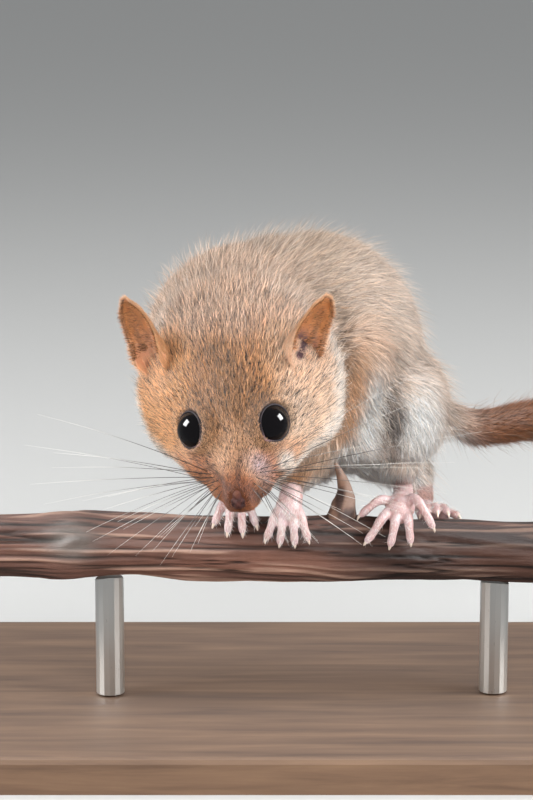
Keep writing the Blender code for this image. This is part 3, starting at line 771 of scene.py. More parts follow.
def build_skin(frame):
    """The flesh nodes as one skin, drawn in from the coat's tips to its roots."""
    parts = [joined_flesh(frame)]
    for side in (-1, 1):
        parts.append(ball((0, 0, 0), (EYE_RADIUS + 0.25,) * 3, eye_matrix(side)))
    skin = mesh_object("skin", *stacked(parts))
    remeshed(skin, SKIN_VOXEL, 8)
    points, normals, _ = read_mesh(skin)
    lie = Lie(points, normals)
    depth = SKIN_DEPTH + SKIN_DEPTH_SHARE * lie.length() + tucked(lie)
    for side in (-1, 1):
        depth += EYE_TUCK * step(eye_gap(points, side), 3.1, 2.6)
    points = points - normals * depth[:, None]
    for side in (-1, 1):
        points = set_eye_in(points, eye_matrix(side))
    move_points(skin, points)
    return skin


def tucked(lie):
    """How much further in the skin lies under the belly, round the left ankle and beside the nose."""
    x, _, z = lie.points.T
    leg, along = lie.share["hindleg_left"], lie.along["hindleg_left"]
    low = lie.share["trunk"] + leg
    belly = BELLY_TUCK * low * step(lie.normals[:, 2], -0.1, -0.7) * step(z, 43.0, 39.5) * step(x, 1.0, 6.0)
    ankle = ANKLE_TUCK * leg * step(along, 0.45, 0.62) * step(along, 0.97, 0.8)
    across, back, _ = lie.local.T
    muzzle = MUZZLE_TUCK * lie.share["head"] * step(np.abs(across), 1.4, 3.2) * step(back, 5.5, 2.5)
    return np.maximum(belly * step(along * leg, 0.6, 0.4), ankle) + muzzle


def set_eye_in(points, matrix):
    """Lowers the skin round an eye, so that the ball stands out of a shallow hollow."""
    turn = np.array(matrix)
    local = (points - turn[:3, 3]) @ turn[:3, :3]
    reach = np.hypot(local[:, 0], local[:, 1])
    beyond = np.maximum(reach - SLOPE_START, 0)
    bowl = np.sqrt(np.maximum(BOWL_RADIUS**2 - reach**2, 0.05))
    cap = np.where(reach < BOWL_REACH, bowl, BOWL_EDGE)
    cap = cap + 0.3 * beyond + 0.6 * beyond**2
    near = (local[:, 2] > -1.0) & (reach < SLOPE_END)
    local[:, 2] = np.where(near, np.minimum(local[:, 2], cap), local[:, 2])
    return placed(local, matrix)


def unwrapped(obj):
    """Unwraps the skin by its own shape and returns each triangle's corners on the map."""
    bpy.context.view_layer.objects.active = obj
    obj.select_set(True)
    bpy.ops.object.mode_set(mode="EDIT")
    bpy.ops.mesh.select_all(action="SELECT")
    bpy.ops.uv.smart_project(angle_limit=math.radians(66), island_margin=0.004)
    bpy.ops.object.mode_set(mode="OBJECT")
    obj.select_set(False)
    mesh = obj.data
    mesh.calc_loop_triangles()
    loops = np.empty(len(mesh.loop_triangles) * 3, np.int32)
    mesh.loop_triangles.foreach_get("loops", loops)
    uvs = np.empty(len(mesh.loops) * 2, np.float32)
    mesh.uv_layers.active.data.foreach_get("uv", uvs)
    return uvs.reshape(-1, 2)[loops].reshape(-1, 3, 2)


class Ground:
    """A surface that hair grows from."""

    def __init__(self, obj, corners_uv):
        self.points, self.normals, self.faces = read_mesh(obj)
        self.uv = corners_uv
        a, b, c = (self.points[self.faces[:, i]] for i in range(3))
        self.area = np.linalg.norm(np.cross(b - a, c - a), axis=1) / 2

    def scatter(self, rng, count, weight):
        """Random roots, their normals and places on the map, denser where the weight is more."""
        per_face = self.area * weight[self.faces].mean(axis=1)
        chosen = rng.choice(len(self.faces), size=count, p=per_face / per_face.sum())
        share = rng.dirichlet((1, 1, 1), size=count)
        corners = self.faces[chosen]
        roots = np.einsum("ij,ijk->ik", share, self.points[corners])
        normals = unit(np.einsum("ij,ijk->ik", share, self.normals[corners]))
        places = np.einsum("ij,ijk->ik", share, self.uv[chosen])
        return roots, normals, places


def tuft_faces(count, segments, per):
    """The triangles of a number of tufts, each with so many points."""
    one = []
    for i in range(segments - 1):
        for k in range(3):
            j = (k + 1) % 3
            a, b, c, d = 3 * i + k, 3 * i + j, 3 * i + 3 + j, 3 * i + 3 + k
            one += [(a, b, c), (a, c, d)]
    for k in range(3):
        one.append((per - 4 + k, per - 4 + (k + 1) % 3, per - 1))
    return (np.arange(count)[:, None, None] * per + np.array(one)[None]).reshape(-1, 3)


def tufts(roots, normals, ways, lengths, widths, tilts, bends, places, segments, rng):
    """Tapered three-sided tufts that leave the skin at a tilt and bend down along it."""
    count = len(roots)
    side = unit(np.cross(normals, ways))
    sway = rng.normal(scale=SWAY, size=count)
    curl = rng.normal(scale=CURL, size=count)
    at = roots - normals * TUFT_SINK
    rings, alongs = [], np.linspace(0, 1, segments + 1)
    for i, along in enumerate(alongs):
        middle = max(along - 0.5 / segments, 0.0)
        tilt = tilts + (bends - tilts) * middle
        lean = sway + curl * middle
        way = ways * (np.cos(tilt) * np.cos(lean))[:, None] + normals * np.sin(tilt)[:, None]
        way += side * (np.cos(tilt) * np.sin(lean))[:, None]
        if i:
            at = at + way * (lengths / segments)[:, None]
        rise = unit(np.cross(side, way))
        if i < segments:
            taper = widths * (1 - 0.75 * along**1.6) / 2
            flat = unit(np.cross(way, rise))
            ring = []
            for turn in (math.pi / 2, math.pi * 7 / 6, math.pi * 11 / 6):
                ring.append(at + (flat * math.cos(turn) + 0.6 * rise * math.sin(turn)) * taper[:, None])
            rings.append(np.stack(ring, axis=1))
    body = np.stack(rings, axis=1).reshape(count, -1, 3)
    points = np.concatenate([body, at[:, None]], axis=1)
    per = points.shape[1]
    spread = [((k - 1) * PATCH_HALF, alongs[i] * PATCH) for i in range(segments) for k in range(3)]
    spread = np.array(spread + [(0.0, PATCH)])
    uvs = np.clip(places[:, None] + spread[None] - (0.0, PATCH / 2), 0.0, 1.0)
    along_of = np.repeat(alongs, [3] * segments + [1])
    faces = tuft_faces(count, segments, per)
    return points.reshape(-1, 3), faces, uvs.reshape(-1, 2), np.tile(along_of, count), per


def coat_colours(base, along, per, rng, contrast):
    """Each tuft's own tint, darker at the root and paler at the tip."""
    count = len(base)
    tint = np.exp(rng.normal(scale=TINT_SPREAD * contrast, size=count))
    odd = rng.random(count)
    tint = np.where(odd < DARK_SHARE, tint * (1 - DARKER * contrast), tint)
    tint = np.where(odd > PALE_FROM, tint * (1 + PALER * contrast), tint)
    warm = np.exp(rng.normal(scale=WARM_SPREAD, size=count))
    own = base * tint[:, None]
    own[:, 0] *= warm
    own[:, 2] /= warm
    full = np.repeat(own, per, axis=0)
    light = np.repeat(step(base.mean(axis=1), 0.45, 0.85), per)
    root = ROOT_LIGHT + ROOT_GAIN * light
    full = full * (root + (TIP_LIGHT - root) * along)[:, None]
    full *= np.minimum(1.0, BRIGHTEST / full.max(axis=1))[:, None]
    return np.maximum(full, DARKEST)


def coat_piece(name, grown, base, rng, material, contrast):
    """One mesh of tufts with its paint and its material."""
    points, faces, uvs, along, per = grown
    piece = mesh_object(name, points, faces, uvs)
    paint(piece, coat_colours(base, along, per, rng, contrast))
    dressed(piece, material, "fur")


def build_coat(ground, material):
    """The short dense coat in interleaved pieces: needles below, with bent tufts over them on the body."""
    rng = np.random.default_rng(SEED)
    lie = Lie(ground.points, ground.normals)
    length = lie.length()
    bare = np.maximum(nose_share(lie.local), slit_share(lie.local))
    for side in (-1, 1):
        bare = np.maximum(bare, step(eye_gap(ground.points, side), 2.85, 2.65))
    weight = (1 - bare) / np.maximum(length, 0.6) ** 0.8
    for name, pieces, count, segments, low, high in COAT_LAYERS:
        own = step(length, low - 0.3, low + 0.3) * step(length, high + 0.3, high - 0.3)
        for i in range(pieces):
            grow(f"{name}_{i + 1}", ground, rng, count, weight * own + 1e-9, segments, material)


def grow(name, ground, rng, count, weight, segments, material):
    """One piece of coat, with its roots scattered by a weight for each point of the skin."""
    roots, normals, places = ground.scatter(rng, count, weight)
    spot = Lie(roots, normals)
    lengths = spot.length() * rng.uniform(0.65, 1.2, count)
    widths = np.interp(lengths, *HAIR_WIDTH) * rng.uniform(0.6, 1.35, count)
    tilts = np.radians(np.interp(lengths, *HAIR_TILT)) * rng.uniform(0.5, 1.5, count)
    if segments > 1:
        lengths *= 1.12
        tilts *= 1.1
    stray = rng.random(count) < STRAY_SHARE
    tilts = np.where(stray, tilts * 1.9 + 0.15, tilts)
    lengths = np.where(stray, lengths * 1.2, lengths)
    widths = np.where(stray, widths * 0.6, widths)
    grown = tufts(roots, normals, spot.way, lengths, widths, tilts, tilts * 0.35, places, segments, rng)
    contrast = 0.72 + 0.75 * spot.share["head"] * step(spot.local[:, 1], 0.0, 4.0)
    coat_piece(name, grown, coat_colour(spot), rng, material, contrast)


def single_hairs(count, sizes, rng):
    """Lengths, widths and tilts, each drawn between its least and its most."""
    length, width, tilt = sizes
    return rng.uniform(*length, count), rng.uniform(*width, count), np.radians(rng.uniform(*tilt, count))


def build_guard_hair(ground, material):
    """Long single hairs that stand out over the nape, the back and the rump."""
    rng = np.random.default_rng(SEED + 1)
    lie = Lie(ground.points, ground.normals)
    weight = lie.share["trunk"] * step(lie.normals[:, 2], -0.6, 0.2) + 0.25 * lie.share["hindleg_left"]
    weight += 0.3 * lie.share["head"] * step(lie.local[:, 1], 20, 26) + 0.3 * lie.share["tail"]
    roots, normals, places = ground.scatter(rng, GUARD_HAIRS, weight + 1e-6)
    spot = Lie(roots, normals)
    lengths, widths, tilts = single_hairs(GUARD_HAIRS, GUARD_HAIR_SIZES, rng)
    grown = tufts(roots, normals, spot.way, lengths, widths, tilts, tilts * 0.6, places, 3, rng)
    base = blend(coat_colour(spot), GUARD_PALE, np.full(GUARD_HAIRS, 0.4))
    coat_piece("guard_hair", grown, base, rng, material, 0.8)


def plain_material(name, colour, roughness, **sockets):
    made = bpy.data.materials.new(name)
    made.use_nodes = True
    shader = shader_of(made)
    shader.inputs["Base Color"].default_value = (*colour, 1.0)
    shader.inputs["Roughness"].default_value = roughness
    for socket, value in sockets.items():
        shader.inputs[socket.replace("_", " ")].default_value = value
    return made


def shader_of(made):
    return made.node_tree.nodes["Principled BSDF"]


def add_node(made, kind, **settings):
    """A node with its inputs, or else its settings, at the given values."""
    node = made.node_tree.nodes.new("ShaderNode" + kind)
    for name, value in settings.items():
        socket = name.replace("_", " ")
        if socket in node.inputs:
            node.inputs[socket].default_value = value
        else:
            setattr(node, name, value)
    return node


def wire(made, start, end):
    made.node_tree.links.new(start, end)


def grain(made, stretch, **settings):
    """Noise over the object, drawn out along an axis where the stretch is below 1."""
    place = add_node(made, "TexCoord").outputs["Object"]
    if stretch:
        drawn = add_node(made, "Mapping", Scale=stretch)
        wire(made, place, drawn.inputs["Vector"])
        place = drawn.outputs["Vector"]
    noise = add_node(made, "TexNoise", **settings)
    wire(made, place, noise.inputs["Vector"])
    return noise.outputs["Fac"]


def between(made, value, low, high):
    """A value spread between two others."""
    level = add_node(made, "MapRange", To_Min=low, To_Max=high)
    wire(made, value, level.inputs["Value"])
    return level.outputs["Result"]


def emboss(made, height, strength, distance):
    """A fine relief on the surface."""
    relief = add_node(made, "Bump", Strength=strength, Distance=distance)
    wire(made, height, relief.inputs["Height"])
    wire(made, relief.outputs["Normal"], shader_of(made).inputs["Normal"])


def painted_material(name, roughness, noise_scale, noise_amount, bump, **sockets):
    """Takes its colour from the mesh's own paint, broken up by fine noise, with a bump from it."""
    made = plain_material(name, (0.5, 0.4, 0.3), roughness, **sockets)
    colour = add_node(made, "Attribute", attribute_name="coat")
    noise = grain(made, None, Scale=noise_scale, Detail=4.0, Roughness=0.6)
    mixed = add_node(made, "VectorMath", operation="SCALE")
    wire(made, colour.outputs["Color"], mixed.inputs[0])
    wire(made, between(made, noise, 1 - noise_amount, 1 + noise_amount), mixed.inputs["Scale"])
    wire(made, mixed.outputs["Vector"], shader_of(made).inputs["Base Color"])
    if bump:
        emboss(made, noise, bump, 0.0002)
    return made


def build_eyes():
    """Glossy black eyes with a dark moist rim and a pink inner corner."""
    black = plain_material("eye_black", (0.002, 0.0015, 0.002), 0.03, IOR=1.27)
    rim_look = painted_material("eye_rim", 0.6, 3000.0, 0.2, 0.3, Specular_IOR_Level=0.15)
    for name, side in (("eye_left", 1), ("eye_right", -1)):
        matrix = eye_matrix(side)
        radii = (EYE_RADIUS, EYE_RADIUS * 1.02, EYE_RADIUS)
        dressed(mesh_object(name + "_glass", *ball((0, 0, 0), radii, matrix)), black, "eye", name)
        build_rim(name, side, matrix, rim_look)


def build_rim(name, side, matrix, look):
    """The bare edge of the lids, drawn out to a small corner towards the nose."""
    to_nose = head_matrix().to_3x3() @ Vector((-side * 0.55, -0.95, 0.0))
    inner = (matrix.to_3x3().inverted() @ to_nose).to_2d()
    corner = math.atan2(inner.y, inner.x)
    opening = math.sqrt(EYE_RADIUS**2 - LID_RISE**2)
    rings, colours = [], []
    for i in range(RIM_AROUND):
        turn = 2 * math.pi * i / RIM_AROUND
        off = math.atan2(math.sin(turn - corner), math.cos(turn - corner))
        point = math.exp(-((off / 0.28) ** 2))
        middle = opening + 0.06 + 0.30 * point
        thick = 0.15 + 0.02 * point
        for k in range(RIM_SIDES):
            roll = 2 * math.pi * k / RIM_SIDES
            reach = middle + thick * math.cos(roll)
            height = LID_RISE - 0.12 * point + thick * math.sin(roll)
            rings.append((reach * math.cos(turn), reach * math.sin(turn), height))
        shade = np.array(RIM_DARK) * (1 - point) + np.array(RIM_CORNER) * point
        colours += [shade] * RIM_SIDES
    i, k = np.meshgrid(np.arange(RIM_AROUND), np.arange(RIM_SIDES), indexing="ij")
    here, there = i * RIM_SIDES, ((i + 1) % RIM_AROUND) * RIM_SIDES
    up = (k + 1) % RIM_SIDES
    faces = np.stack([here + k, there + k, there + up, here + up], axis=2).reshape(-1, 4)
    rim = mesh_object(name + "_rim", placed(np.array(rings), matrix), faces)
    paint(rim, np.array(colours))
    dressed(rim, look, "bare_skin")


def axes_along(origin, tip, facing):
    """A frame whose z runs from origin to tip and whose -y faces the given way."""
    up = (Vector(tip) - Vector(origin)).normalized()
    back = -(Vector(facing) - up * up.dot(Vector(facing))).normalized()
    side = back.cross(up)
    place = Matrix((side, back, up)).transposed().to_4x4()
    place.translation = origin
    return place


def ear_sheet(name, skin):
    """Rows of points of the ear's middle sheet from root to tip, and the ways out of its back."""
    base, tip, facing = EARS[name]
    frame = np.array(head_matrix() @ axes_along(base, tip, facing))
    length = (Vector(tip) - Vector(base)).length
    sections = curve_points(EAR_SECTIONS, EAR_STEPS + 1)
    share = np.linspace(0, 1, EAR_STEPS + 1)[:, None]
    u = np.linspace(-1, 1, EAR_ACROSS + 1)[None]
    half, spread = sections[:, 0][:, None], np.radians(sections[:, 1])[:, None]
    radius = half / np.sin(np.minimum(spread, math.pi / 2))
    fold = 0.2 * np.exp(-(((u - 0.38) / 0.15) ** 2)) * step(share, 0.8, 0.35)
    fold = fold + 0.14 * np.exp(-(((u + 0.45) / 0.14) ** 2)) * step(share, 0.75, 0.4)
    reach = radius - fold + 0.12 * step(np.abs(u), 0.85, 1.0)
    turn = spread * u
    wave = 0.1 * np.sin(share * 9.0 + u * 2.0)
    height = -EAR_SINK + (length + EAR_SINK) * share - 0.6 * np.abs(u) ** 2.5 * share**5
    depth = reach * np.cos(turn) - 0.6 * radius + wave
    local = np.stack([reach * np.sin(turn), depth, height + 0 * u], axis=-1)
    out = np.stack([np.sin(turn), np.cos(turn), 0 * turn], axis=-1) @ frame[:3, :3].T
    grid = local @ frame[:3, :3].T + frame[:3, 3]
    for i, row in enumerate(grid):
        free = step(share[i, 0], 0.0, EAR_ROOT)
        for k, point in enumerate(row):
            near, normal = skin.find_nearest(Vector(point))[:2]
            row[k] = np.array(near - normal * 0.3) * (1 - free) + point * free
    facing_out = unit(np.cross(np.gradient(grid, axis=1), np.gradient(grid, axis=0)))
    facing_out *= np.sign(np.sum(facing_out * out, axis=2, keepdims=True))
    return grid, facing_out, share + 0 * u, u + 0 * share


def sampled(grid, s, v):
    """Values between a grid's rows and columns, at places from 0 to 1 along each."""
    i = np.clip(s * (grid.shape[0] - 1), 0, grid.shape[0] - 1.001)
    k = np.clip(v * (grid.shape[1] - 1), 0, grid.shape[1] - 1.001)
    i0, k0 = i.astype(int), k.astype(int)
    a, b = (i - i0)[:, None], (k - k0)[:, None]
    low = grid[i0, k0] * (1 - b) + grid[i0, k0 + 1] * b
    high = grid[i0 + 1, k0] * (1 - b) + grid[i0 + 1, k0 + 1] * b
    return low * (1 - a) + high * a


def ear_tint(name, grid, share, off_middle):
    """Orange skin, with painted shade in the hollow of the left ear and a paler edge."""
    root, hollow = EAR_TINTS[name]
    tint = np.tile((0.38, 0.145, 0.048), (len(share), 1))
    tint = blend(tint, root, 0.8 * step(share, 0.6, 0.3))
    # painted shade: dark purple in the hollow at the root of the ear
    tint = blend(tint, (0.10, 0.05, 0.06), hollow * step(share, 0.5, 0.3) * step(off_middle, 0.95, 0.5))
    tint = blend(tint, (0.70, 0.38, 0.19), step(off_middle, 0.92, 1.0) * step(share, 0.3, 0.5))
    return tint * (1 + 0.16 * ripple(grid.reshape(-1, 3), 2.4, 33)[:, None])


def build_ears(ground, material, hair_look):
    rng = np.random.default_rng(SEED + 2)
    skin = BVHTree.FromPolygons(ground.points.tolist(), ground.faces.tolist())
    for name in EARS:
        grid, out, share, u = ear_sheet(name, skin)
        wide = EAR_ACROSS + 1
        i, k = np.meshgrid(np.arange(EAR_STEPS), np.arange(EAR_ACROSS), indexing="ij")
        a = i * wide + k
        faces = np.stack([a, a + 1, a + 1 + wide, a + wide], axis=2).reshape(-1, 4)
        ear = mesh_object(name + "_skin", grid.reshape(-1, 3), faces)
        paint(ear, ear_tint(name, grid, share.ravel(), np.abs(u).ravel()))
        shell = ear.modifiers.new("shell", "SOLIDIFY")
        shell.thickness = EAR_THICKNESS * MM
        shell.offset = 0.0
        soften = ear.modifiers.new("soften", "SUBSURF")
        soften.levels = soften.render_levels = 1
        settle(ear)
        ear.data.shade_smooth()
        dressed(ear, material, "ear", name)
        for kind, facing in (("back", out), ("inside", -out), ("rim", out)):
            ear_hair(name, kind, grid, facing, rng, hair_look)


def ear_hair(name, kind, grid, facing, rng, look):
    """Down on one face of the ear, or the fringe of its rim, pointing to the tip."""
    count, low, length, width, tilt, outwards, contrast, colour = EAR_HAIR[kind]
    base, tip, _ = EARS[name]
    up = HEAD[:3, :3] @ np.array((Vector(tip) - Vector(base)).normalized())
    s = rng.uniform(low, 1.0, count)
    v = rng.uniform(0, 1, count)
    edge = np.sign(v - 0.5)[:, None]
    if kind == "rim":
        v = np.where(v < 0.5, rng.uniform(0, 0.03, count), rng.uniform(0.97, 1, count))
        tip_row = rng.random(count) < 0.2
        s = np.where(tip_row, 1.0, s)
        v = np.where(tip_row, rng.uniform(0, 1, count), v)
    normals = unit(sampled(facing, s, v))
    roots = sampled(grid, s, v) + normals * EAR_THICKNESS * 0.4
    way = up + unit(sampled(np.gradient(grid, axis=1), s, v)) * edge * outwards
    way = level_with(way, normals)
    lengths = length * rng.uniform(0.6, 1.3, count) * (1.0 + 1.1 * step(s, 0.6, 0.0))
    widths = width * rng.uniform(0.7, 1.3, count)
    tilts = np.radians(tilt) * rng.uniform(0.4, 1.6, count)
    places = np.column_stack([0.02 + 0.96 * v, 0.02 + 0.96 * s])
    grown = tufts(roots, normals, way, lengths, widths, tilts, tilts * 0.3, places, 1, rng)
    base_colour = np.tile(colour, (count, 1))
    if kind == "back":
        base_colour = blend(base_colour, EAR_BASE[name], step(s, 0.6, 0.3))
    coat_piece(f"{name}_{kind}_hair", grown, base_colour, rng, look, contrast)


def branch_axis(x):
    along, across, height = zip(*BRANCH_PATH)
    return float(np.interp(x, along, across)), float(np.interp(x, along, height))


def digit_rows(root_x, tip_x, root_turn, tip_turn, arch):
    """A digit that reaches round the branch."""
    rows = []
    for share, height, radius in DIGIT_SHAPE:
        x = root_x + (tip_x - root_x) * share
        turn = math.radians(root_turn + (tip_turn - root_turn) * share)
        y, z = branch_axis(x)
        reach = BRANCH_RADIUS + height + arch * math.sin(math.pi * (0.15 + 0.75 * share))
        rows.append((x, y - reach * math.sin(turn), z + reach * math.cos(turn), radius))
    return rows


def claw_rows(digit, tip_x):
    """A hooked claw from the end of a digit to the bark."""
    start = np.array(digit[-1][:3])
    way = unit(start - np.array(digit[-2][:3]))
    out = unit(start - (start[0], *branch_axis(tip_x)))
    return [(*(start + way * ahead + out * rise), radius) for ahead, rise, radius in CLAW_SHAPE]


def build_paws(skin_look, claw_look, hair_look):
    rng = np.random.default_rng(SEED + 3)
    for name, palm in PALMS.items():
        parts = [tube(palm, 20, 16)]
        claws = []
        for values in DIGITS[name]:
            rows = digit_rows(*values)
            parts.append(tube(rows, 14, 26))
            parts.append(ball(rows[-1][:3], (0.5, 0.5, 0.5), None, 3))
            claws.append(tube(claw_rows(rows, values[1]), 8, 10))
        paw = mesh_object(name + "_skin", *stacked(parts))
        remeshed(paw, 0.15, 5)
        points, _, _ = read_mesh(paw)
        paint(paw, layered(len(points), PAW_SKIN, [(PAW_FLUSH, 0.5 + 0.5 * ripple(points, 2.2, 5))]))
        dressed(paw, skin_look, "bare_skin", name)
        dressed(mesh_object(name + "_claws", *stacked(claws)), claw_look, "bare_skin")
        build_paw_hair(name, paw, rng, hair_look)


def build_paw_hair(name, paw, rng, look):
    """Fine white hair on the upper side of a paw."""
    points, normals, faces = read_mesh(paw)
    ground = Ground(paw, np.zeros((len(faces), 3, 2)))
    palm = np.array(PALMS[name])[:, :3]
    y, z = branch_axis(float(palm[-1][0]))
    out = unit((points - (0, y, z)) * (0, 1, 1))
    upper = step(np.sum(out * normals, axis=1), 0.1, 0.7)
    roots, facing, _ = ground.scatter(rng, PAW_HAIRS, upper + 1e-6)
    ways = unit(palm[-1] - palm[0]) + rng.normal(scale=0.25, size=(PAW_HAIRS, 3)) + np.array((0, 0, -0.3))
    ways = level_with(ways, facing)
    lengths, widths, tilts = single_hairs(PAW_HAIRS, PAW_HAIR_SIZES, rng)
    low, high = points.min(axis=0), points.max(axis=0)
    places = 0.02 + 0.96 * ((roots - low) / (high - low))[:, :2]
    grown = tufts(roots, facing, ways, lengths, widths, tilts, tilts * 0.4, places, 2, rng)
    coat_piece(name + "_hair", grown, np.tile(PAW_HAIR, (PAW_HAIRS, 1)), rng, look, 0.3)


def build_nose(look):
    """The bare nose with its two nostrils and the cleft below."""
    matrix = head_matrix()
    parts = [ball(centre, radii, matrix) for centre, radii in NOSE_BALLS]
    nose = mesh_object("nose_skin", *stacked(parts))
    remeshed(nose, 0.08, 5)
    points, normals, _ = read_mesh(nose)
    x, _, z = to_head(points).T
    pit = np.zeros(len(points))
    for side in (-1, 1):
        away = box_gap(to_head(points), (side * 0.78, -0.4, 1.35), (0.3, 0.5, 0.32))
        pit += np.exp(-(away**2))
    cleft = bump_at(x, 0, 0.1) * step(z, 1.6, 0.6)
    rough = ripple(points, 9.0, 31)
    move_points(nose, points - normals * (0.4 * pit + 0.18 * cleft + 0.03 * rough)[:, None])
    tint = np.tile(NOSE_SKIN, (len(points), 1)) * (1 + 0.3 * rough)[:, None]
    tint = blend(tint, (0.14, 0.05, 0.03), step(z, 2.0, 2.6))
    # painted shade: the nostrils and the cleft are painted near black, for the dark inside their openings
    paint(nose, blend(tint, (0.02, 0.01, 0.012), np.clip(pit * 1.3 + 0.6 * cleft, 0, 1)))
    dressed(nose, look, "bare_skin")


def whisker_rows(side, row, column, near, rng):
    """One whisker of x, y, z and radius, from the nearest place on the skin."""
    local = np.array((side * (1.9 + 0.5 * row + 0.3 * column), 1.6 + 0.72 * column, 1.9 - 0.85 * row))
    root = near[np.argmin(np.linalg.norm(near - from_head(local[None]), axis=1))]
    fan = math.radians(58 - 15 * column + rng.uniform(-7, 7))
    lift = 0.30 - 0.30 * row + 0.03 * column + rng.uniform(-0.08, 0.08)
    way = unit(HEAD[:3, :3] @ np.array((side * math.cos(fan), -math.sin(fan), lift)))
    length = np.interp(column, (0, 2, 5), (8, 15, 27)) * rng.uniform(0.8, 1.1)
    bend = np.array((0, 0.16, -0.10)) * length * rng.uniform(0.6, 1.4)
    rows = []
    for t in (0.0, 0.3, 0.65, 1.0):
        rows.append((*(root - way * 0.3 + way * length * t + bend * t**2), 0.055 * (1 - 0.85 * t)))
    return rows


def build_whiskers(skin_points, look):
    """Rows of long stiff hairs from the muzzle, dark at the root and pale at the tip."""
    rng = np.random.default_rng(SEED + 4)
    near = skin_points[np.linalg.norm(skin_points - np.array(NOSE), axis=1) < 14]
    sides, count = 4, 14
    parts = []
    for side in (-1, 1):
        for row in range(WHISKER_ROWS):
            for column in range(WHISKER_COLUMNS):
                rows = whisker_rows(side, row, column, near, rng)
                parts.append(tube(rows, sides, count, round_ends=False))
    whiskers = mesh_object("whiskers", *stacked(parts))
    along = np.concatenate([np.repeat(np.linspace(0, 1, count), sides), (0.0, 1.0)])
    share = np.tile(along, len(parts))
    paint(whiskers, layered(len(share), WHISKER_DARK, [(WHISKER_PALE, step(share, 0.4, 0.8))]))
    dressed(whiskers, look, "fur")


def bark_limb():
    """The limb with ridges, cracks, flakes and a knot, and the colour of each of its points, with painted
    highlight and painted shade in its bark and painted shade on its right-hand part.
    """
    rows = curve_points(BRANCH_PATH, BRANCH_STEPS)
    turns = np.arange(BRANCH_SIDES) * 2 * math.pi / BRANCH_SIDES
    x, centre_y, centre_z = (np.repeat(rows[:, i], BRANCH_SIDES) for i in range(3))
    turn = np.tile(turns, BRANCH_STEPS)
    radius = np.full(len(x), BRANCH_RADIUS - 0.12)
    for place, reach, swell in BRANCH_SWELLS:
        radius += swell * np.exp(-(((x - place) / reach) ** 2))
    radius *= 1 + 0.03 * np.sin(3 * turn + 0.15 * x) + 0.02 * np.sin(5 * turn - 0.4 * x)
    ring = np.column_stack([x * 0.12, np.cos(turn) * 4, np.sin(turn) * 4])
    flakes = ripple(ring, 1.1, 21)
    ridge = ripple(ring * (0.6, 2.2, 2.2), 1.5, 22)
    fine = ripple(ring * (2.5, 5.0, 5.0), 1.4, 23)
    crack = step(np.abs(ripple(ring * (0.5, 1.6, 1.6), 1.5, 27)), 0.16, 0.0)
    knot = np.exp(-(((x + 32.0) / 3.2) ** 2) - (((turn - 1.15) / 0.55) ** 2))
    radius += 0.18 * np.sign(flakes) * np.minimum(np.abs(flakes) * 4, 1)
    radius += 0.14 * ridge + 0.07 * fine - 0.3 * crack
    radius += knot * (0.35 + 0.3 * ripple(ring * (6, 3, 3), 1.3, 24))
    points = np.column_stack([x, centre_y - radius * np.sin(turn), centre_z + radius * np.cos(turn)])
    limb = lofted(list(points.reshape(BRANCH_STEPS, BRANCH_SIDES, 3)), (rows[0], rows[-1]))
    # pale ridges and dark furrows and cracks, partly painted highlight and painted shade
    layers = (
        (BARK_DARK, np.clip(flakes * 0.5 + 0.5, 0, 1)),
        (BARK_RIDGE, step(ridge + 0.5 * fine, 0.5, 1.1)),
        (BARK_DEEP, step(ridge, -0.5, -1.0)),
        (BARK_CRACK, 0.9 * crack),
    )
    tint = layered(len(x), BARK, layers)
    # Painted shade: darker from the stub rightwards, all round but a strip along the top.
    tint *= (1 - 0.6 * step(x, -2.0, 12.0) * step(turn, 0.1, 0.9))[:, None]
    tint = blend(tint, LICHEN, 0.7 * np.clip(knot * 1.4, 0, 1))
    return limb, np.concatenate([tint, np.tile(BARK, (2, 1))])


def bark_stub():
    """The pointed stub and the colour of each of its points."""
    points, faces = tube(STUB, 28, 40)
    rough = 0.07 * ripple(points * (1, 1, 0.4), 2.6, 25) + 0.04 * ripple(points * (1, 1, 0.3), 6.0, 26)
    out = unit((points - STUB[0][:3]) * (1, 1, 0))
    points = points + out * rough[:, None]
    patches = step(ripple(points * (1, 1, 0.35), 3.2, 28), -0.2, 0.8)
    return (points, faces), layered(len(points), (0.22, 0.125, 0.085), [((0.055, 0.03, 0.024), patches)])


def build_branch(look, end_look):
    """The perch with its pointed stub and its two cut ends."""
    limb, limb_tint = bark_limb()
    stub, stub_tint = bark_stub()
    branch = mesh_object("perch_bark", *stacked([limb, stub]))
    paint(branch, np.concatenate([limb_tint, stub_tint]))
    corners = np.array([face.vertices[2] for face in branch.data.polygons])
    cut = (corners == len(limb[0]) - 2) | (corners == len(limb[0]) - 1)
    dressed(branch, look, "bark", "perch_branch")
    branch.data.materials.append(end_look)
    branch.data.polygons.foreach_set("material_index", cut.astype(np.int32))
    branch.data.polygons.foreach_set("use_smooth", ~cut)


def bark_material():
    made = painted_material("bark", 0.72, 260.0, 0.35, 0.0)
    emboss(made, grain(made, (0.18, 1.0, 1.0), Scale=2600.0, Detail=6.0, Roughness=0.65), 0.7, 0.0003)
    return made


def wood_material(name, dark, pale, scale, roughness):
    """Long grain with darker pores."""
    made = plain_material(name, dark, roughness)
    noise = grain(made, (0.08, 1.0, 1.0), Scale=scale, Detail=8.0, Roughness=0.6, Distortion=0.4)
    ramp = add_node(made, "ValToRGB")
    for stop, position, colour in zip(ramp.color_ramp.elements, (0.3, 0.75), (dark, pale)):
        stop.position = position
        stop.color = (*colour, 1)
    wire(made, noise, ramp.inputs["Fac"])
    wire(made, ramp.outputs["Color"], shader_of(made).inputs["Base Color"])
    emboss(made, noise, 0.25, 0.0001)
    return made


